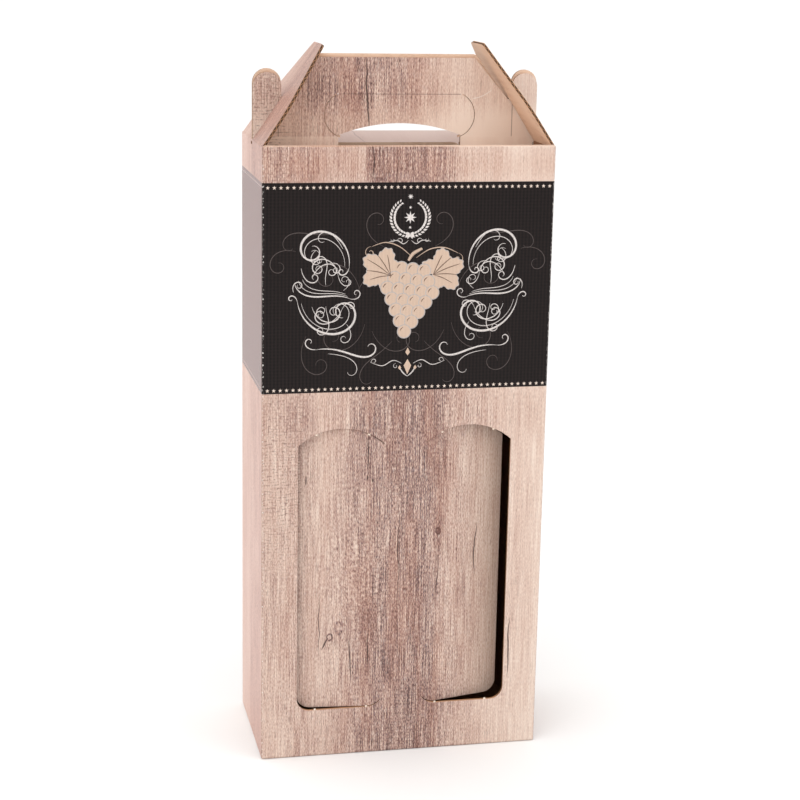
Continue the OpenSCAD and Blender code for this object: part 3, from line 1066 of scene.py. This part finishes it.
def volute(
    centre: Point, outer: float, inner: float, start_deg: float, turn_deg: float, middle: float,
    ends: float = 0.12,
) -> Stroke:
    """A stroke that winds in towards a centre.

    Args:
        centre: centre of the volute.
        outer: radius at which it starts.
        inner: radius at which it ends.
        start_deg: direction of its start, seen from the centre.
        turn_deg: how far it winds, clockwise where negative.
        middle: width in its middle.
        ends: width at its ends.

    Returns:
        The stroke.
    """
    steps = max(10, int(abs(turn_deg) / 13))
    shares = [i / steps for i in range(steps + 1)]
    points = [polar(centre, outer + (inner - outer) * t**0.8, start_deg + turn_deg * t) for t in shares]
    return Stroke(points, middle, ends)


def only(obj: bpy.types.Object) -> None:
    """Selects one object alone and makes it active.

    Args:
        obj: the object.
    """
    bpy.ops.object.select_all(action="DESELECT")
    obj.select_set(True)
    bpy.context.view_layer.objects.active = obj


def join(parts: Sequence[bpy.types.Object], name: str) -> bpy.types.Object:
    """Joins meshes.

    Args:
        parts: the meshes, at least one.
        name: name of the whole.

    Returns:
        The whole as one object.
    """
    only(parts[0])
    for part in parts:
        part.select_set(True)
    if len(parts) > 1:
        bpy.ops.object.join()
    merged = bpy.context.view_layer.objects.active
    merged.name = merged.data.name = name
    return merged


def paint(piece: bpy.types.Object, material: bpy.types.Material) -> None:
    """Gives a piece its one material."""
    piece.data.materials.clear()
    piece.data.materials.append(material)


def inked_shape(outline: Sequence[Point], foot: float, top: float) -> bpy.types.Object:
    """A thin flat shape, drawn in X and Y and raised along Z.

    Args:
        outline: corners of the shape, counterclockwise.
        foot: height of its underside.
        top: height of its face.

    Returns:
        The shape as an object.
    """
    bpy.ops.object.select_all(action="DESELECT")
    bpy.ops.mesh.primitive_circle_add(vertices=len(outline), radius=1.0, fill_type="NGON")
    shape = bpy.context.active_object
    for vertex, (x, y) in zip(shape.data.vertices, outline):
        vertex.co = (x, y, foot)
    bpy.ops.object.mode_set(mode="EDIT")
    bpy.ops.mesh.select_all(action="SELECT")
    bpy.ops.mesh.extrude_region_move(TRANSFORM_OT_translate={"value": (0, 0, top - foot)})
    bpy.ops.mesh.select_all(action="SELECT")
    bpy.ops.mesh.normals_make_consistent(inside=False)
    bpy.ops.object.mode_set(mode="OBJECT")
    return shape


def copy_of(shape: bpy.types.Object, place: Matrix) -> bpy.types.Object:
    """A copy with a mesh of its own.

    Args:
        shape: the shape that is copied.
        place: where the copy goes, seen from the shape.

    Returns:
        The copy.
    """
    twin = shape.copy()
    twin.data = shape.data.copy()
    twin.data.transform(place)
    bpy.context.scene.collection.objects.link(twin)
    return twin


def inked_strokes(strokes: Sequence[Stroke], name: str, proud: float) -> bpy.types.Object:
    """Thin raised ink lines from strokes, drawn in X and Y and raised along Z.

    Args:
        strokes: the pen strokes.
        name: name of the object.
        proud: height of the widest line over the surface.

    Returns:
        The lines as one mesh.
    """
    bpy.ops.object.select_all(action="DESELECT")
    bpy.ops.curve.primitive_bezier_curve_add(radius=1.0)
    pen = bpy.context.active_object
    curve = pen.data
    curve.splines.clear()
    curve.dimensions, curve.twist_mode = "3D", "Z_UP"
    curve.bevel_depth, curve.bevel_resolution, curve.use_fill_caps = 1.0, 0, True
    for stroke in strokes:
        spline, last = curve.splines.new("POLY"), len(stroke.points) - 1
        spline.points.add(last)
        for i, (knot, (x, y)) in enumerate(zip(spline.points, stroke.points)):
            knot.co = (x, y, 0.0, 1.0)
            knot.radius = stroke.width(i / last) / 2
    only(pen)
    bpy.ops.object.convert(target="MESH")
    pen = bpy.context.active_object
    widest = max(stroke.middle for stroke in strokes)
    pen.data.transform(Matrix.Diagonal((1, 1, proud / (widest / 2), 1)))
    pen.name = pen.data.name = name
    return pen


class Ink(Enum):
    """The inks of the band, by the names of their materials."""

    WHITE = "ink_white"
    CREAM = "ink_cream"
    GREY = "ink_grey"
    STAR = "ink_star"
    GHOST = "ink_ghost"
    LINE = "ink_line"


@dataclass
class BandPrint:
    """The ornament printed on the dark band, the same on the front and on the back."""

    board: Board
    inks: dict[Ink, bpy.types.Material] = field(default_factory=dict)
    star_r: float = 1.14
    star_pitch: float = 3.5
    star_margin: float = 2.2
    star_rows: tuple[float, float] = (214.3, 323.9)
    wreath_centre: Point = (0.0, 307.6)
    wreath_r: float = 9.6
    leaf_pairs: int = 15
    leaf_at: Point = (16.5, 15.0)
    leaf_size: float = 13.2
    grape_rows: Sequence[int] = (3, 4, 5, 4, 3, 2, 1)
    grape_step: Point = (6.3, 5.7)
    grape_top: float = 15.5
    grape_r: float = 3.40
    rim: float = 0.55
    skin: float = 0.012

    COLOURS = {
        Ink.WHITE: (srgb(224, 216, 212), srgb(182, 172, 167)),
        Ink.CREAM: (srgb(206, 179, 158), srgb(188, 160, 140)),
        Ink.GREY: (srgb(186, 176, 172), srgb(150, 138, 132)),
        Ink.STAR: (srgb(226, 208, 194), srgb(204, 182, 166)),
        Ink.GHOST: (srgb(76, 64, 61), srgb(58, 49, 47)),
        Ink.LINE: (srgb(120, 92, 76), srgb(92, 70, 60)),
    }
    CROWN = (
        ((33.0, 281.0), 98, 66, -3.1, -19, 1.30, 3.0), ((35.4, 281.6), 94, 54, -3.7, -25, 0.42, 3.0),
        ((33.0, 281.0), -82, 13, 6.0, 62, 0.75, 1.6), ((36.5, 291.0), 62, 24, -1.0, -34, 0.50, 2.2),
        ((39.0, 277.0), 84, 36, -5.0, -42, 0.65, 2.4), ((53.0, 275.5), 108, 30, 4.0, 50, 0.60, 2.4),
        ((45.5, 271.5), 74, 26, 5.0, -52, 0.50, 2.0), ((44.0, 283.0), 150, 18, 10.0, 58, 0.50, 1.8),
        ((39.0, 277.0), -98, 16, -4.0, -58, 0.50, 2.0), ((59.0, 281.0), 262, 22, -3.0, -50, 0.60, 2.0),
        ((51.0, 290.5), -30, 18, -8.0, -54, 0.45, 1.8),
    )
    RIBBON = (
        ((32.5, 264.0), 26, 34, -3.6, 9, 0.90, 1.4), ((33.7, 265.25), 26, 30, -3.6, 9, 0.40, 1.4),
        ((34.9, 266.5), 26, 26, -3.6, 9, 0.40, 1.4), ((32.5, 264.0), 203, 14, -8.0, -54, 0.60, 1.6),
        ((63.0, 268.0), 62, 15, 10.0, 54, 0.60, 1.6), ((36.0, 268.5), 150, 15, -6.0, -50, 0.40, 1.8),
    )
    BASKET = (
        ((61.0, 263.0), -98, 70, -2.5, -18, 1.30, 3.0), ((58.8, 262.0), -100, 58, -3.0, -23.5, 0.42, 3.0),
        ((61.0, 263.0), 82, 10, -9.0, -66, 0.65, 1.6), ((53.0, 260.0), -102, 38, -4.4, -40, 0.65, 2.4),
        ((36.5, 258.5), -70, 34, 3.6, 46, 0.60, 2.4), ((45.5, 260.0), -96, 28, -2.0, 50, 0.50, 2.0),
        ((36.5, 258.5), 112, 14, 6.0, 62, 0.50, 1.8), ((47.0, 252.0), 20, 18, 8.0, 54, 0.45, 1.8),
        ((34.0, 250.0), -130, 20, 4.0, 48, 0.45, 2.0),
    )
    TAIL = (
        ((50.0, 236.5), 172, 42, 1.9, -33, 1.15, 3.6), ((44.0, 234.0), 184, 28, 1.2, 30, 0.42, 2.8),
        ((50.0, 236.5), -8, 15, 5.0, 50, 0.65, 1.8),
    )
    FAINT = (
        ((30.0, 262.0), 100, 62, 2.0, 17, 0.5, 2.4), ((27.0, 268.0), 80, 52, -2.5, -20, 0.5, 2.2),
        ((14.0, 292.0), 20, 36, 3.0, 24, 0.5, 2.2), ((40.0, 300.0), -20, 40, 2.6, -24, 0.5, 2.4),
        ((24.0, 250.0), -80, 52, 2.6, 22, 0.5, 2.2), ((20.0, 246.0), -110, 44, -2.5, -24, 0.5, 2.2),
        ((9.0, 240.0), -50, 36, 1.5, -22, 0.5, 2.6), ((56.0, 244.0), -60, 44, -2.6, -24, 0.5, 2.4),
        ((62.0, 290.0), 20, 34, -4.0, -26, 0.5, 2.0),
    )

    def make_inks(self) -> None:
        """Makes the inks."""
        for ink, (colour, shade) in self.COLOURS.items():
            self.inks[ink] = PrintedInk(ink.value, colour, shade).build()

    def _finish(self, shape: bpy.types.Object, ink: Ink) -> None:
        """Lays a flat drawing on the front and the back of the band and inks it.

        Args:
            shape: the drawing, in millimetres, under its final name.
            ink: its ink.
        """
        front = Matrix.Translation((0, -self.board.half_d, 0)) @ Matrix.Rotation(math.radians(90), 4, "X")
        back = Matrix.Rotation(math.radians(180), 4, "Z") @ front
        scale = Matrix.Scale(MM, 4)
        name = shape.name
        twin = copy_of(shape, scale @ back)
        shape.data.transform(scale @ front)
        whole = join([shape, twin], name)
        paint(whole, self.inks[ink])
        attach(whole, "carton")
        LOG.info("%s: %d faces", name, len(whole.data.polygons))

    def _flat(self, outline: Sequence[Point]) -> bpy.types.Object:
        """A flat shape of ink with the given outline, counterclockwise."""
        return inked_shape(outline, -self.skin, 3 * self.skin)

    def _pair(self, right: Sequence[Stroke], name: str, proud: float, ink: Ink) -> None:
        """Prints the strokes of the right half and their mirror images."""
        both = [stroke for half in right for stroke in (half, half.mirrored())]
        self._finish(inked_strokes(both, name, proud), ink)

    def stars(self) -> None:
        """Prints the two rows of five-pointed stars."""
        star = self._flat(ring((0.0, 0.0), (self.star_r, self.star_r * 0.40), 10, 90.0))
        count = int(2 * (self.board.half_w - self.star_margin) / self.star_pitch) + 1
        first = -self.star_pitch * (count - 1) / 2
        stars = [
            copy_of(star, Matrix.Translation((first + i * self.star_pitch, z, 0)))
            for z in self.star_rows for i in range(count)
        ]
        bpy.data.objects.remove(star)
        self._finish(join(stars, "band_stars"), Ink.STAR)

    def _wreath_leaves(self) -> list[bpy.types.Object]:
        """The paired leaves of the wreath and the bow of leaves at its foot.

        Returns:
            The leaves.
        """
        leaf = self._flat([(0, 0), (1.0, -0.62), (2.3, 0.0), (1.0, 0.62)])
        cx, cz = self.wreath_centre
        leaves = []

        def lay(x: float, z: float, turn: float, size: float) -> None:
            """Lays one leaf with its stalk at a place, turned by an angle in radians."""
            spot = Matrix.Translation((x, z, 0)) @ Matrix.Rotation(turn, 4, "Z")
            leaves.append(copy_of(leaf, spot @ Matrix.Scale(size, 4)))

        for side in (-1, 1):
            for i in range(self.leaf_pairs):
                way_deg = -84 + 9.9 * i
                size = 0.72 + 0.38 * math.sin(math.pi * (i + 2) / (self.leaf_pairs + 2))
                for outward in (-1, 1):
                    x, z = polar((0.0, cz), self.wreath_r + outward * 0.35, way_deg)
                    turn = math.radians(way_deg + 90 - 34 * outward)
                    lay(side * x + cx, z, turn if side > 0 else math.pi - turn, size)
        for side in (-1, 1):
            for i, lean_deg in enumerate((18, 52, 86)):
                turn = math.radians(-90 + side * lean_deg)
                lay(cx + side * 0.3, cz - self.wreath_r + 1.2, turn, 1.5 - 0.22 * i)
        bpy.data.objects.remove(leaf)
        return leaves

    def wreath(self) -> None:
        """Prints a wreath of paired leaves round a small star, with a sprig under it."""
        pieces = self._wreath_leaves()
        cx, cz = self.wreath_centre
        for radius, height in ((1.5, self.wreath_r + 1.6), (3.4, 0.0), (0.9, -5.4), (0.9, 5.4)):
            pieces.append(self._flat(ring((cx, cz + height), (0.42 * radius, radius), 16, 112.5)))
        self._finish(join(pieces, "band_wreath"), Ink.WHITE)
        strokes = [
            swash([(0.8, 295.2), (3.5, 293.4), (7.0, 295.2), (11.6, 294.6)], 0.5),
            volute((5.2, 294.9), 1.9, 0.5, 0, 330, 0.35),
            volute((9.2, 295.4), 1.3, 0.4, 30, -300, 0.3),
        ]
        self._pair(strokes, "band_wreath_sprig", 3 * self.skin, Ink.WHITE)

    def scrolls(self) -> None:
        """Prints the pen scrolls beside the middle, each side the mirror image of the other."""
        pale = self.CROWN + self.RIBBON + self.BASKET + self.TAIL
        self._pair([flourish(*row) for row in pale], "band_scrolls", 4 * self.skin, Ink.WHITE)
        faint = [flourish(*row) for row in self.FAINT]
        self._pair(faint, "band_faint_scrolls", 1.2 * self.skin, Ink.GHOST)

    def _leaf_outline(self, centre: Point, turn_deg: float, grow: float) -> list[Point]:
        """Outline of a five-lobed vine leaf.

        Args:
            centre: centre of the leaf.
            turn_deg: direction that it points in.
            grow: how far the outline stands outside the leaf.

        Returns:
            The points, counterclockwise.
        """
        points = []
        for way_deg in range(0, 360, 4):
            way = math.radians(way_deg)
            lobe = 0.60 + 0.30 * abs(math.cos(2.5 * way)) ** 1.3 + 0.035 * math.sin(22 * way)
            notch = 1 - 0.30 * math.exp(-((way_deg - 180) / 22) ** 2)
            points.append(polar(centre, self.leaf_size * lobe * notch + grow, way_deg + turn_deg))
        return points

    def grapes(self) -> None:
        """Prints a bunch of grapes between two vine leaves, in cream with a grey rim."""
        skin = self.skin
        tilt = Matrix.Translation((0, 264, 0)) @ Matrix.Rotation(math.radians(-7), 4, "Z")
        rims, fills, lines = [], [], []
        for side in (-1, 1):
            centre, turn = (side * self.leaf_at[0], self.leaf_at[1] + side * 1.5), 90 - side * 62
            rims.append(inked_shape(self._leaf_outline(centre, turn, self.rim), -skin, 2 * skin))
            fills.append(inked_shape(self._leaf_outline(centre, turn, 0.0), skin, 3 * skin))
            root = polar(centre, -5.5, turn)
            for fan in (-72, -36, 0, 36, 72):
                tip = polar(centre, 10.4 if fan == 0 else 8.6, turn + fan)
                lines.append(swash([root, ((root[0] + tip[0]) / 2, (root[1] + tip[1]) / 2 + 0.5), tip], 0.4))
        for row, count in enumerate(self.grape_rows):
            for i in range(count):
                across, down = self.grape_step
                centre = ((i - (count - 1) / 2) * across, self.grape_top - row * down)
                order = sum(self.grape_rows[:row]) + i + 1
                lift = skin * (2 + 0.55 * order)
                rims.append(inked_shape(ring(centre, (self.grape_r + self.rim,), 24), -skin, lift))
                fills.append(inked_shape(ring(centre, (self.grape_r,), 24), -skin, lift + 0.3 * skin))
                lines.append(volute(centre, 2.3, 2.2, 110, 75, 0.42))
        stalk = [
            swash([(-3.0, 20.0), (-1.0, 24.0), (3.6, 27.4)], 1.9, 1.2),
            swash([(1.0, 22.0), (8.0, 27.5), (16.0, 29.2), (24.0, 27.0)], 0.6),
            volute((24.2, 23.8), 3.2, 0.8, 90, -420, 0.5),
            swash([(-1.0, 22.0), (-9.0, 27.0), (-17.0, 28.4), (-24.0, 25.4)], 0.6),
            volute((-24.4, 22.0), 3.4, 0.8, 90, 420, 0.5),
        ]
        fills.append(inked_strokes(stalk, "stem", 4 * skin))
        for name, parts, ink in (("band_grape_rims", rims, Ink.GREY), ("band_grapes", fills, Ink.CREAM)):
            whole = join(parts, name)
            whole.data.transform(tilt)
            self._finish(whole, ink)
        veins = inked_strokes(lines, "band_grape_lines", 1.2 * skin)
        veins.data.transform(tilt @ Matrix.Translation((0, 0, 14.6 * skin)))
        self._finish(veins, Ink.LINE)

    def sprig(self) -> None:
        """Prints the small lozenges and their thin pen lines under the middle."""
        strokes = [
            swash([(3.2, 227.6), (8.0, 229.4), (14.0, 226.6), (20.8, 228.8)], 0.5),
            volute((18.6, 229.2), 1.7, 0.5, -30, 330, 0.36),
            volute((6.6, 226.2), 1.5, 0.5, 90, -320, 0.34),
            swash([(0.0, 220.4), (2.6, 222.6), (4.6, 225.8)], 0.7),
        ]
        self._pair(strokes, "band_sprig_lines", 3 * self.skin, Ink.WHITE)
        lozenges = [
            self._flat([(x, foot), (x + half, middle), (x, top), (x - half, middle)])
            for x, half, foot, middle, top in (
                (0.0, 2.1, 221.5, 226.4, 230.0), (0.0, 1.3, 232.0, 233.8, 236.4),
                (-4.3, 0.9, 224.0, 225.2, 226.6), (4.3, 0.9, 224.0, 225.2, 226.6),
            )
        ]
        self._finish(join(lozenges, "band_lozenges"), Ink.CREAM)


@dataclass
class CreaseSkins:
    """The printed liner, which runs on over the creases, and liner sheets behind the tongue's round cuts,
    which make the cuts show as dark shaded lines.
    """

    board: Board
    finish: CartonFinish
    half_width: float = 1.3
    rows: int = 12
    skin: float = 0.03
    backing_in: float = 0.6
    backing_out: float = 0.55
    lip_in: float = 0.3
    lip_out: float = 0.2

    def _strip(
        self, name: str, path: Callable[[float], Vector], ends: tuple[Vector, Vector]
    ) -> None:
        """Lays a strip of liner across a crease.

        Args:
            name: name of the piece.
            path: place of the strip's middle line at a distance from the crease, negative on the carton.
            ends: first and last place along the crease.
        """
        bpy.ops.object.select_all(action="DESELECT")
        bpy.ops.mesh.primitive_grid_add(x_subdivisions=self.rows, y_subdivisions=4, size=2.0)
        strip = bpy.context.active_object
        strip.name = strip.data.name = name
        for vertex in strip.data.vertices:
            across, share = vertex.co.x * self.half_width, (vertex.co.y + 1) / 2
            vertex.co = path(across) + ends[0].lerp(ends[1], share)
        strip.data.transform(Matrix.Scale(MM, 4))
        only(strip)
        bpy.ops.object.mode_set(mode="EDIT")
        bpy.ops.mesh.select_all(action="SELECT")
        bpy.ops.mesh.normals_make_consistent(inside=False)
        bpy.ops.object.mode_set(mode="OBJECT")
        paint(strip, self.finish.slots["print_across_x"])
        start, end = path(-self.half_width / 2), path(self.half_width / 2)
        tuple(start * MM)
        tuple(end * MM)
        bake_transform(strip)

    def _window(self, side: int, rest_deg: float, body: str) -> None:
        """Lays the liner over one window's crease, bent as the flap rests.

        Args:
            side: -1 for the left window, 1 for the right one.
            rest_deg: angle that the flap stands in by.
            body: the flap's body.
        """
        board, rest = self.board, math.radians(rest_deg)
        root = Vector((side * board.crease_x, -board.half_d - self.skin, 0))

        def path(across: float) -> Vector:
            """Runs flat on the wall and turns by the flap's rest angle."""
            bend = rest if across > 0 else 0.0
            return root + Vector((side * across * math.cos(bend), across * math.sin(bend), 0))

        rise = math.sqrt(board.arch_r**2 - (board.window_x - board.crease_x) ** 2 / 4)
        low, high = board.window_foot + 4.4, board.arch_z + rise - 0.5
        self._strip(f"{body}_crease_skin", path, (Vector((0, 0, low)), Vector((0, 0, high))))

    def _tongue(self) -> None:
        """Lays the liner over the tongue's crease."""
        board = self.board
        root = Vector((board.grip_x, -board.handle_face - self.skin, board.tongue_z))
        reach = Vector((board.tongue_half - 0.3, 0, 0))
        self._strip(
            "tongue_crease_skin", lambda across: root - Vector((0, 0, across)), (-reach, reach)
        )

    def _arc(self, side: int, inward: float, outward: float, ways: Sequence[float]) -> list[Point]:
        """Outline of a thin arc along one round end of the tongue.

        Args:
            side: -1 for the left end, 1 for the right one.
            inward: how far the arc reaches inside the cut.
            outward: how far it reaches outside.
            ways: directions of its points from the end's centre.

        Returns:
            The points, counterclockwise.
        """
        board = self.board
        centre, radius = (board.tongue_end_x, board.tongue_end_z), board.tongue_end_r
        points = [polar(centre, radius + outward, way) for way in ways]
        points += [polar(centre, radius - inward, way) for way in reversed(ways)]
        return [(board.grip_x + side * x, z) for x, z in points][::side]

    def _cut_shade_backing(self) -> None:
        """Lays sheets of liner behind the tongue's two round ends and in their cuts, so that the cuts show
        dark in shade instead of open.
        """
        soft_ways = [-74 + 138 * i / 28 for i in range(29)]
        parts = []
        for side in (-1, 1):
            soft = self._arc(side, self.backing_in, self.backing_out, soft_ways)
            parts.append(inked_shape(soft, 0.02, 0.08))
            lip = self._arc(side, self.lip_in, self.lip_out, range(-72, 65, 4))
            parts.append(inked_shape(lip, 1.2, 1.3))
        shade_backing = join(parts, "tongue_cut_shade_backing")
        shade_backing.data.transform(Matrix.Scale(MM, 4) @ Matrix.Rotation(math.radians(90), 4, "X"))
        paint(shade_backing, self.finish.slots["kraft_liner"])
        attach(shade_backing, "grip_tongue")

    def build(self) -> None:
        """Lays the liner over the three creases and the sheets behind the tongue's cut, which make it show
        dark in shade.
        """
        self._window(-1, self.board.left_rest_deg, "left_window_flap")
        self._window(1, self.board.right_rest_deg, "right_window_flap")
        self._tongue()
        self._cut_shade_backing()
        LOG.info("crease skins and cut fibres laid")


@dataclass
class TornNicks:
    """The little bridges of board that held the window flaps, torn when they were pushed in."""

    board: Board
    seed: int = 11
    width: float = 1.5
    depth: float = 0.5
    height: float = 1.6
    arch_x: tuple[float, float] = (20.5, 50.0)
    foot_x: tuple[float, float] = (20.0, 49.5)

    def _nick(self, at: Point, turn_deg: float, dice: random.Random) -> bpy.types.Object:
        """One torn bridge on the rim of a window.

        Args:
            at: its place on the front.
            turn_deg: direction of its free end, 0 for upward.
            dice: source of its unevenness.

        Returns:
            The bridge, in metres.
        """
        bpy.ops.object.select_all(action="DESELECT")
        bpy.ops.mesh.primitive_cube_add(size=1.0)
        nick = bpy.context.active_object
        nick.data.transform(Matrix.Diagonal((self.width, self.depth, self.height, 1)))
        bpy.ops.object.mode_set(mode="EDIT")
        bpy.ops.mesh.select_all(action="SELECT")
        bpy.ops.mesh.subdivide(number_cuts=3)
        bpy.ops.object.mode_set(mode="OBJECT")
        for vertex in nick.data.vertices:
            share = vertex.co.z / self.height + 0.5
            vertex.co.x *= 1.15 - 0.55 * share
            vertex.co.z += dice.uniform(-0.22, 0.22) * share
            vertex.co.y += dice.uniform(-0.05, 0.05)
        turned = Matrix.Rotation(math.radians(turn_deg), 4, "Y")
        place = Matrix.Translation((at[0], -self.board.half_d + 0.34, at[1]))
        nick.data.transform(Matrix.Scale(MM, 4) @ place @ turned)
        return nick

    def build(self) -> None:
        """Puts two nicks on the arch and two on the foot of each window."""
        board, dice = self.board, random.Random(self.seed)
        centre_x = (board.crease_x + board.window_x) / 2
        nicks = []
        for side in (-1, 1):
            for x in self.arch_x:
                rise = math.sqrt(board.arch_r**2 - (x - centre_x) ** 2)
                lean_deg = math.degrees(math.asin((x - centre_x) / board.arch_r))
                nicks.append(self._nick((side * x, board.arch_z + rise), 180 + side * lean_deg, dice))
            for x in self.foot_x:
                nicks.append(self._nick((side * x, board.window_foot), 0.0, dice))
        piece = join(nicks, "window_nicks")
        paint(piece, PrintedInk("torn_fibre", srgb(240, 226, 210), srgb(206, 174, 146)).build())
        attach(piece, "carton")
        LOG.info("%s: %d faces", piece.name, len(piece.data.polygons))


@dataclass(frozen=True)
class Studio:
    """A pale floor, soft light from the front left, and the camera of the photograph."""

    floor_size_m: float = 60.0
    floor_tone: Colour = (0.90, 0.895, 0.89, 1.0)
    room_tone: Colour = (1.0, 0.995, 0.985, 1.0)
    horizon: float = 0.97
    sky: float = 0.52
    fade_from: float = 0.05
    fade_to: float = 0.17
    top_strength: float = 2.1
    top_spread_deg: float = 80.0
    top_place: tuple[float, float, float] = (-0.3, -0.1, 2.0)
    key_power: float = 6.1
    key_place: tuple[float, float, float] = (-0.9, -1.4, 1.3)
    fill_power: float = 6.4
    fill_place: tuple[float, float, float] = (1.4, -1.3, 0.9)
    softbox_size_m: float = 1.3
    camera_place: tuple[float, float, float] = (-0.21408, -1.00988, 0.44726)
    camera_turn_deg: tuple[float, float, float] = (76.3668, -1.0914, -11.9966)
    lens_mm: float = 83.714

    def floor(self) -> None:
        """Lays the floor."""
        bpy.ops.object.select_all(action="DESELECT")
        bpy.ops.mesh.primitive_plane_add(size=self.floor_size_m, location=(0, 0, 0))
        plane = bpy.context.active_object
        plane.name = "studio_floor"
        material = bpy.data.materials.new("studio_paper")
        material.use_nodes = True
        shader = material.node_tree.nodes["Principled BSDF"]
        shader.inputs["Base Color"].default_value = self.floor_tone
        shader.inputs["Roughness"].default_value = 0.9
        paint(plane, material)

    def room(self) -> None:
        """Lights the room, brighter near the horizon than overhead."""
        world = bpy.data.worlds.new("studio_room")
        bpy.context.scene.world = world
        world.use_nodes = True
        tree = world.node_tree
        back = tree.nodes["Background"]
        back.inputs["Color"].default_value = self.room_tone
        kinds = ("ShaderNodeTexCoord", "ShaderNodeSeparateXYZ", "ShaderNodeMapRange")
        way, parts, fade = (tree.nodes.new(kind) for kind in kinds)
        fade.interpolation_type = "SMOOTHSTEP"
        ends = {"From Min": self.fade_from, "From Max": self.fade_to}
        for socket, value in {**ends, "To Min": self.horizon, "To Max": self.sky}.items():
            fade.inputs[socket].default_value = value
        tree.links.new(way.outputs["Generated"], parts.inputs[0])
        tree.links.new(parts.outputs["Z"], fade.inputs["Value"])
        tree.links.new(fade.outputs["Result"], back.inputs["Strength"])

    def lights(self) -> None:
        """Hangs the soft lights."""
        top = bpy.data.lights.new("top_light", "SUN")
        top.energy, top.angle = self.top_strength, math.radians(self.top_spread_deg)
        key, fill = (bpy.data.lights.new(name, "AREA") for name in ("key_softbox", "fill_softbox"))
        key.energy, fill.energy = self.key_power, self.fill_power
        key.size = fill.size = self.softbox_size_m
        for light, place in ((top, self.top_place), (key, self.key_place), (fill, self.fill_place)):
            lamp = bpy.data.objects.new(light.name, light)
            lamp.location = place
            aim = Vector((0, 0, 0.2)) - Vector(place)
            lamp.rotation_euler = aim.to_track_quat("-Z", "Y").to_euler()
            bpy.context.scene.collection.objects.link(lamp)

    def grade(self) -> None:
        """Shows the colours as they are, without a film curve."""
        bpy.context.scene.view_settings.view_transform = "Standard"

    def camera(self) -> None:
        """Sets the camera where the photograph was taken from."""
        lens = bpy.data.cameras.new("studio_camera")
        lens.lens, lens.sensor_width = self.lens_mm, 36.0
        lens.clip_start, lens.clip_end = 0.05, 100.0
        camera = bpy.data.objects.new("studio_camera", lens)
        camera.location = self.camera_place
        camera.rotation_euler = tuple(math.radians(turn) for turn in self.camera_turn_deg)
        bpy.context.scene.collection.objects.link(camera)
        bpy.context.scene.camera = camera


def main() -> None:
    """Builds the looks piece by piece."""
    logging.basicConfig(level=logging.INFO, format="%(name)s: %(message)s")
    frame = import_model()
    board = Board()
    finish = CartonFinish(board, frame["nodes"])
    finish.make_materials()
    finish.dress()
    band = BandPrint(board)
    band.make_inks()
    band.stars()
    band.wreath()
    band.scrolls()
    band.grapes()
    band.sprig()
    CreaseSkins(board, finish).build()
    TornNicks(board).build()
    studio = Studio()
    studio.floor()
    studio.room()
    studio.lights()
    studio.grade()
    studio.camera()


if __name__ == "__main__":
    main()
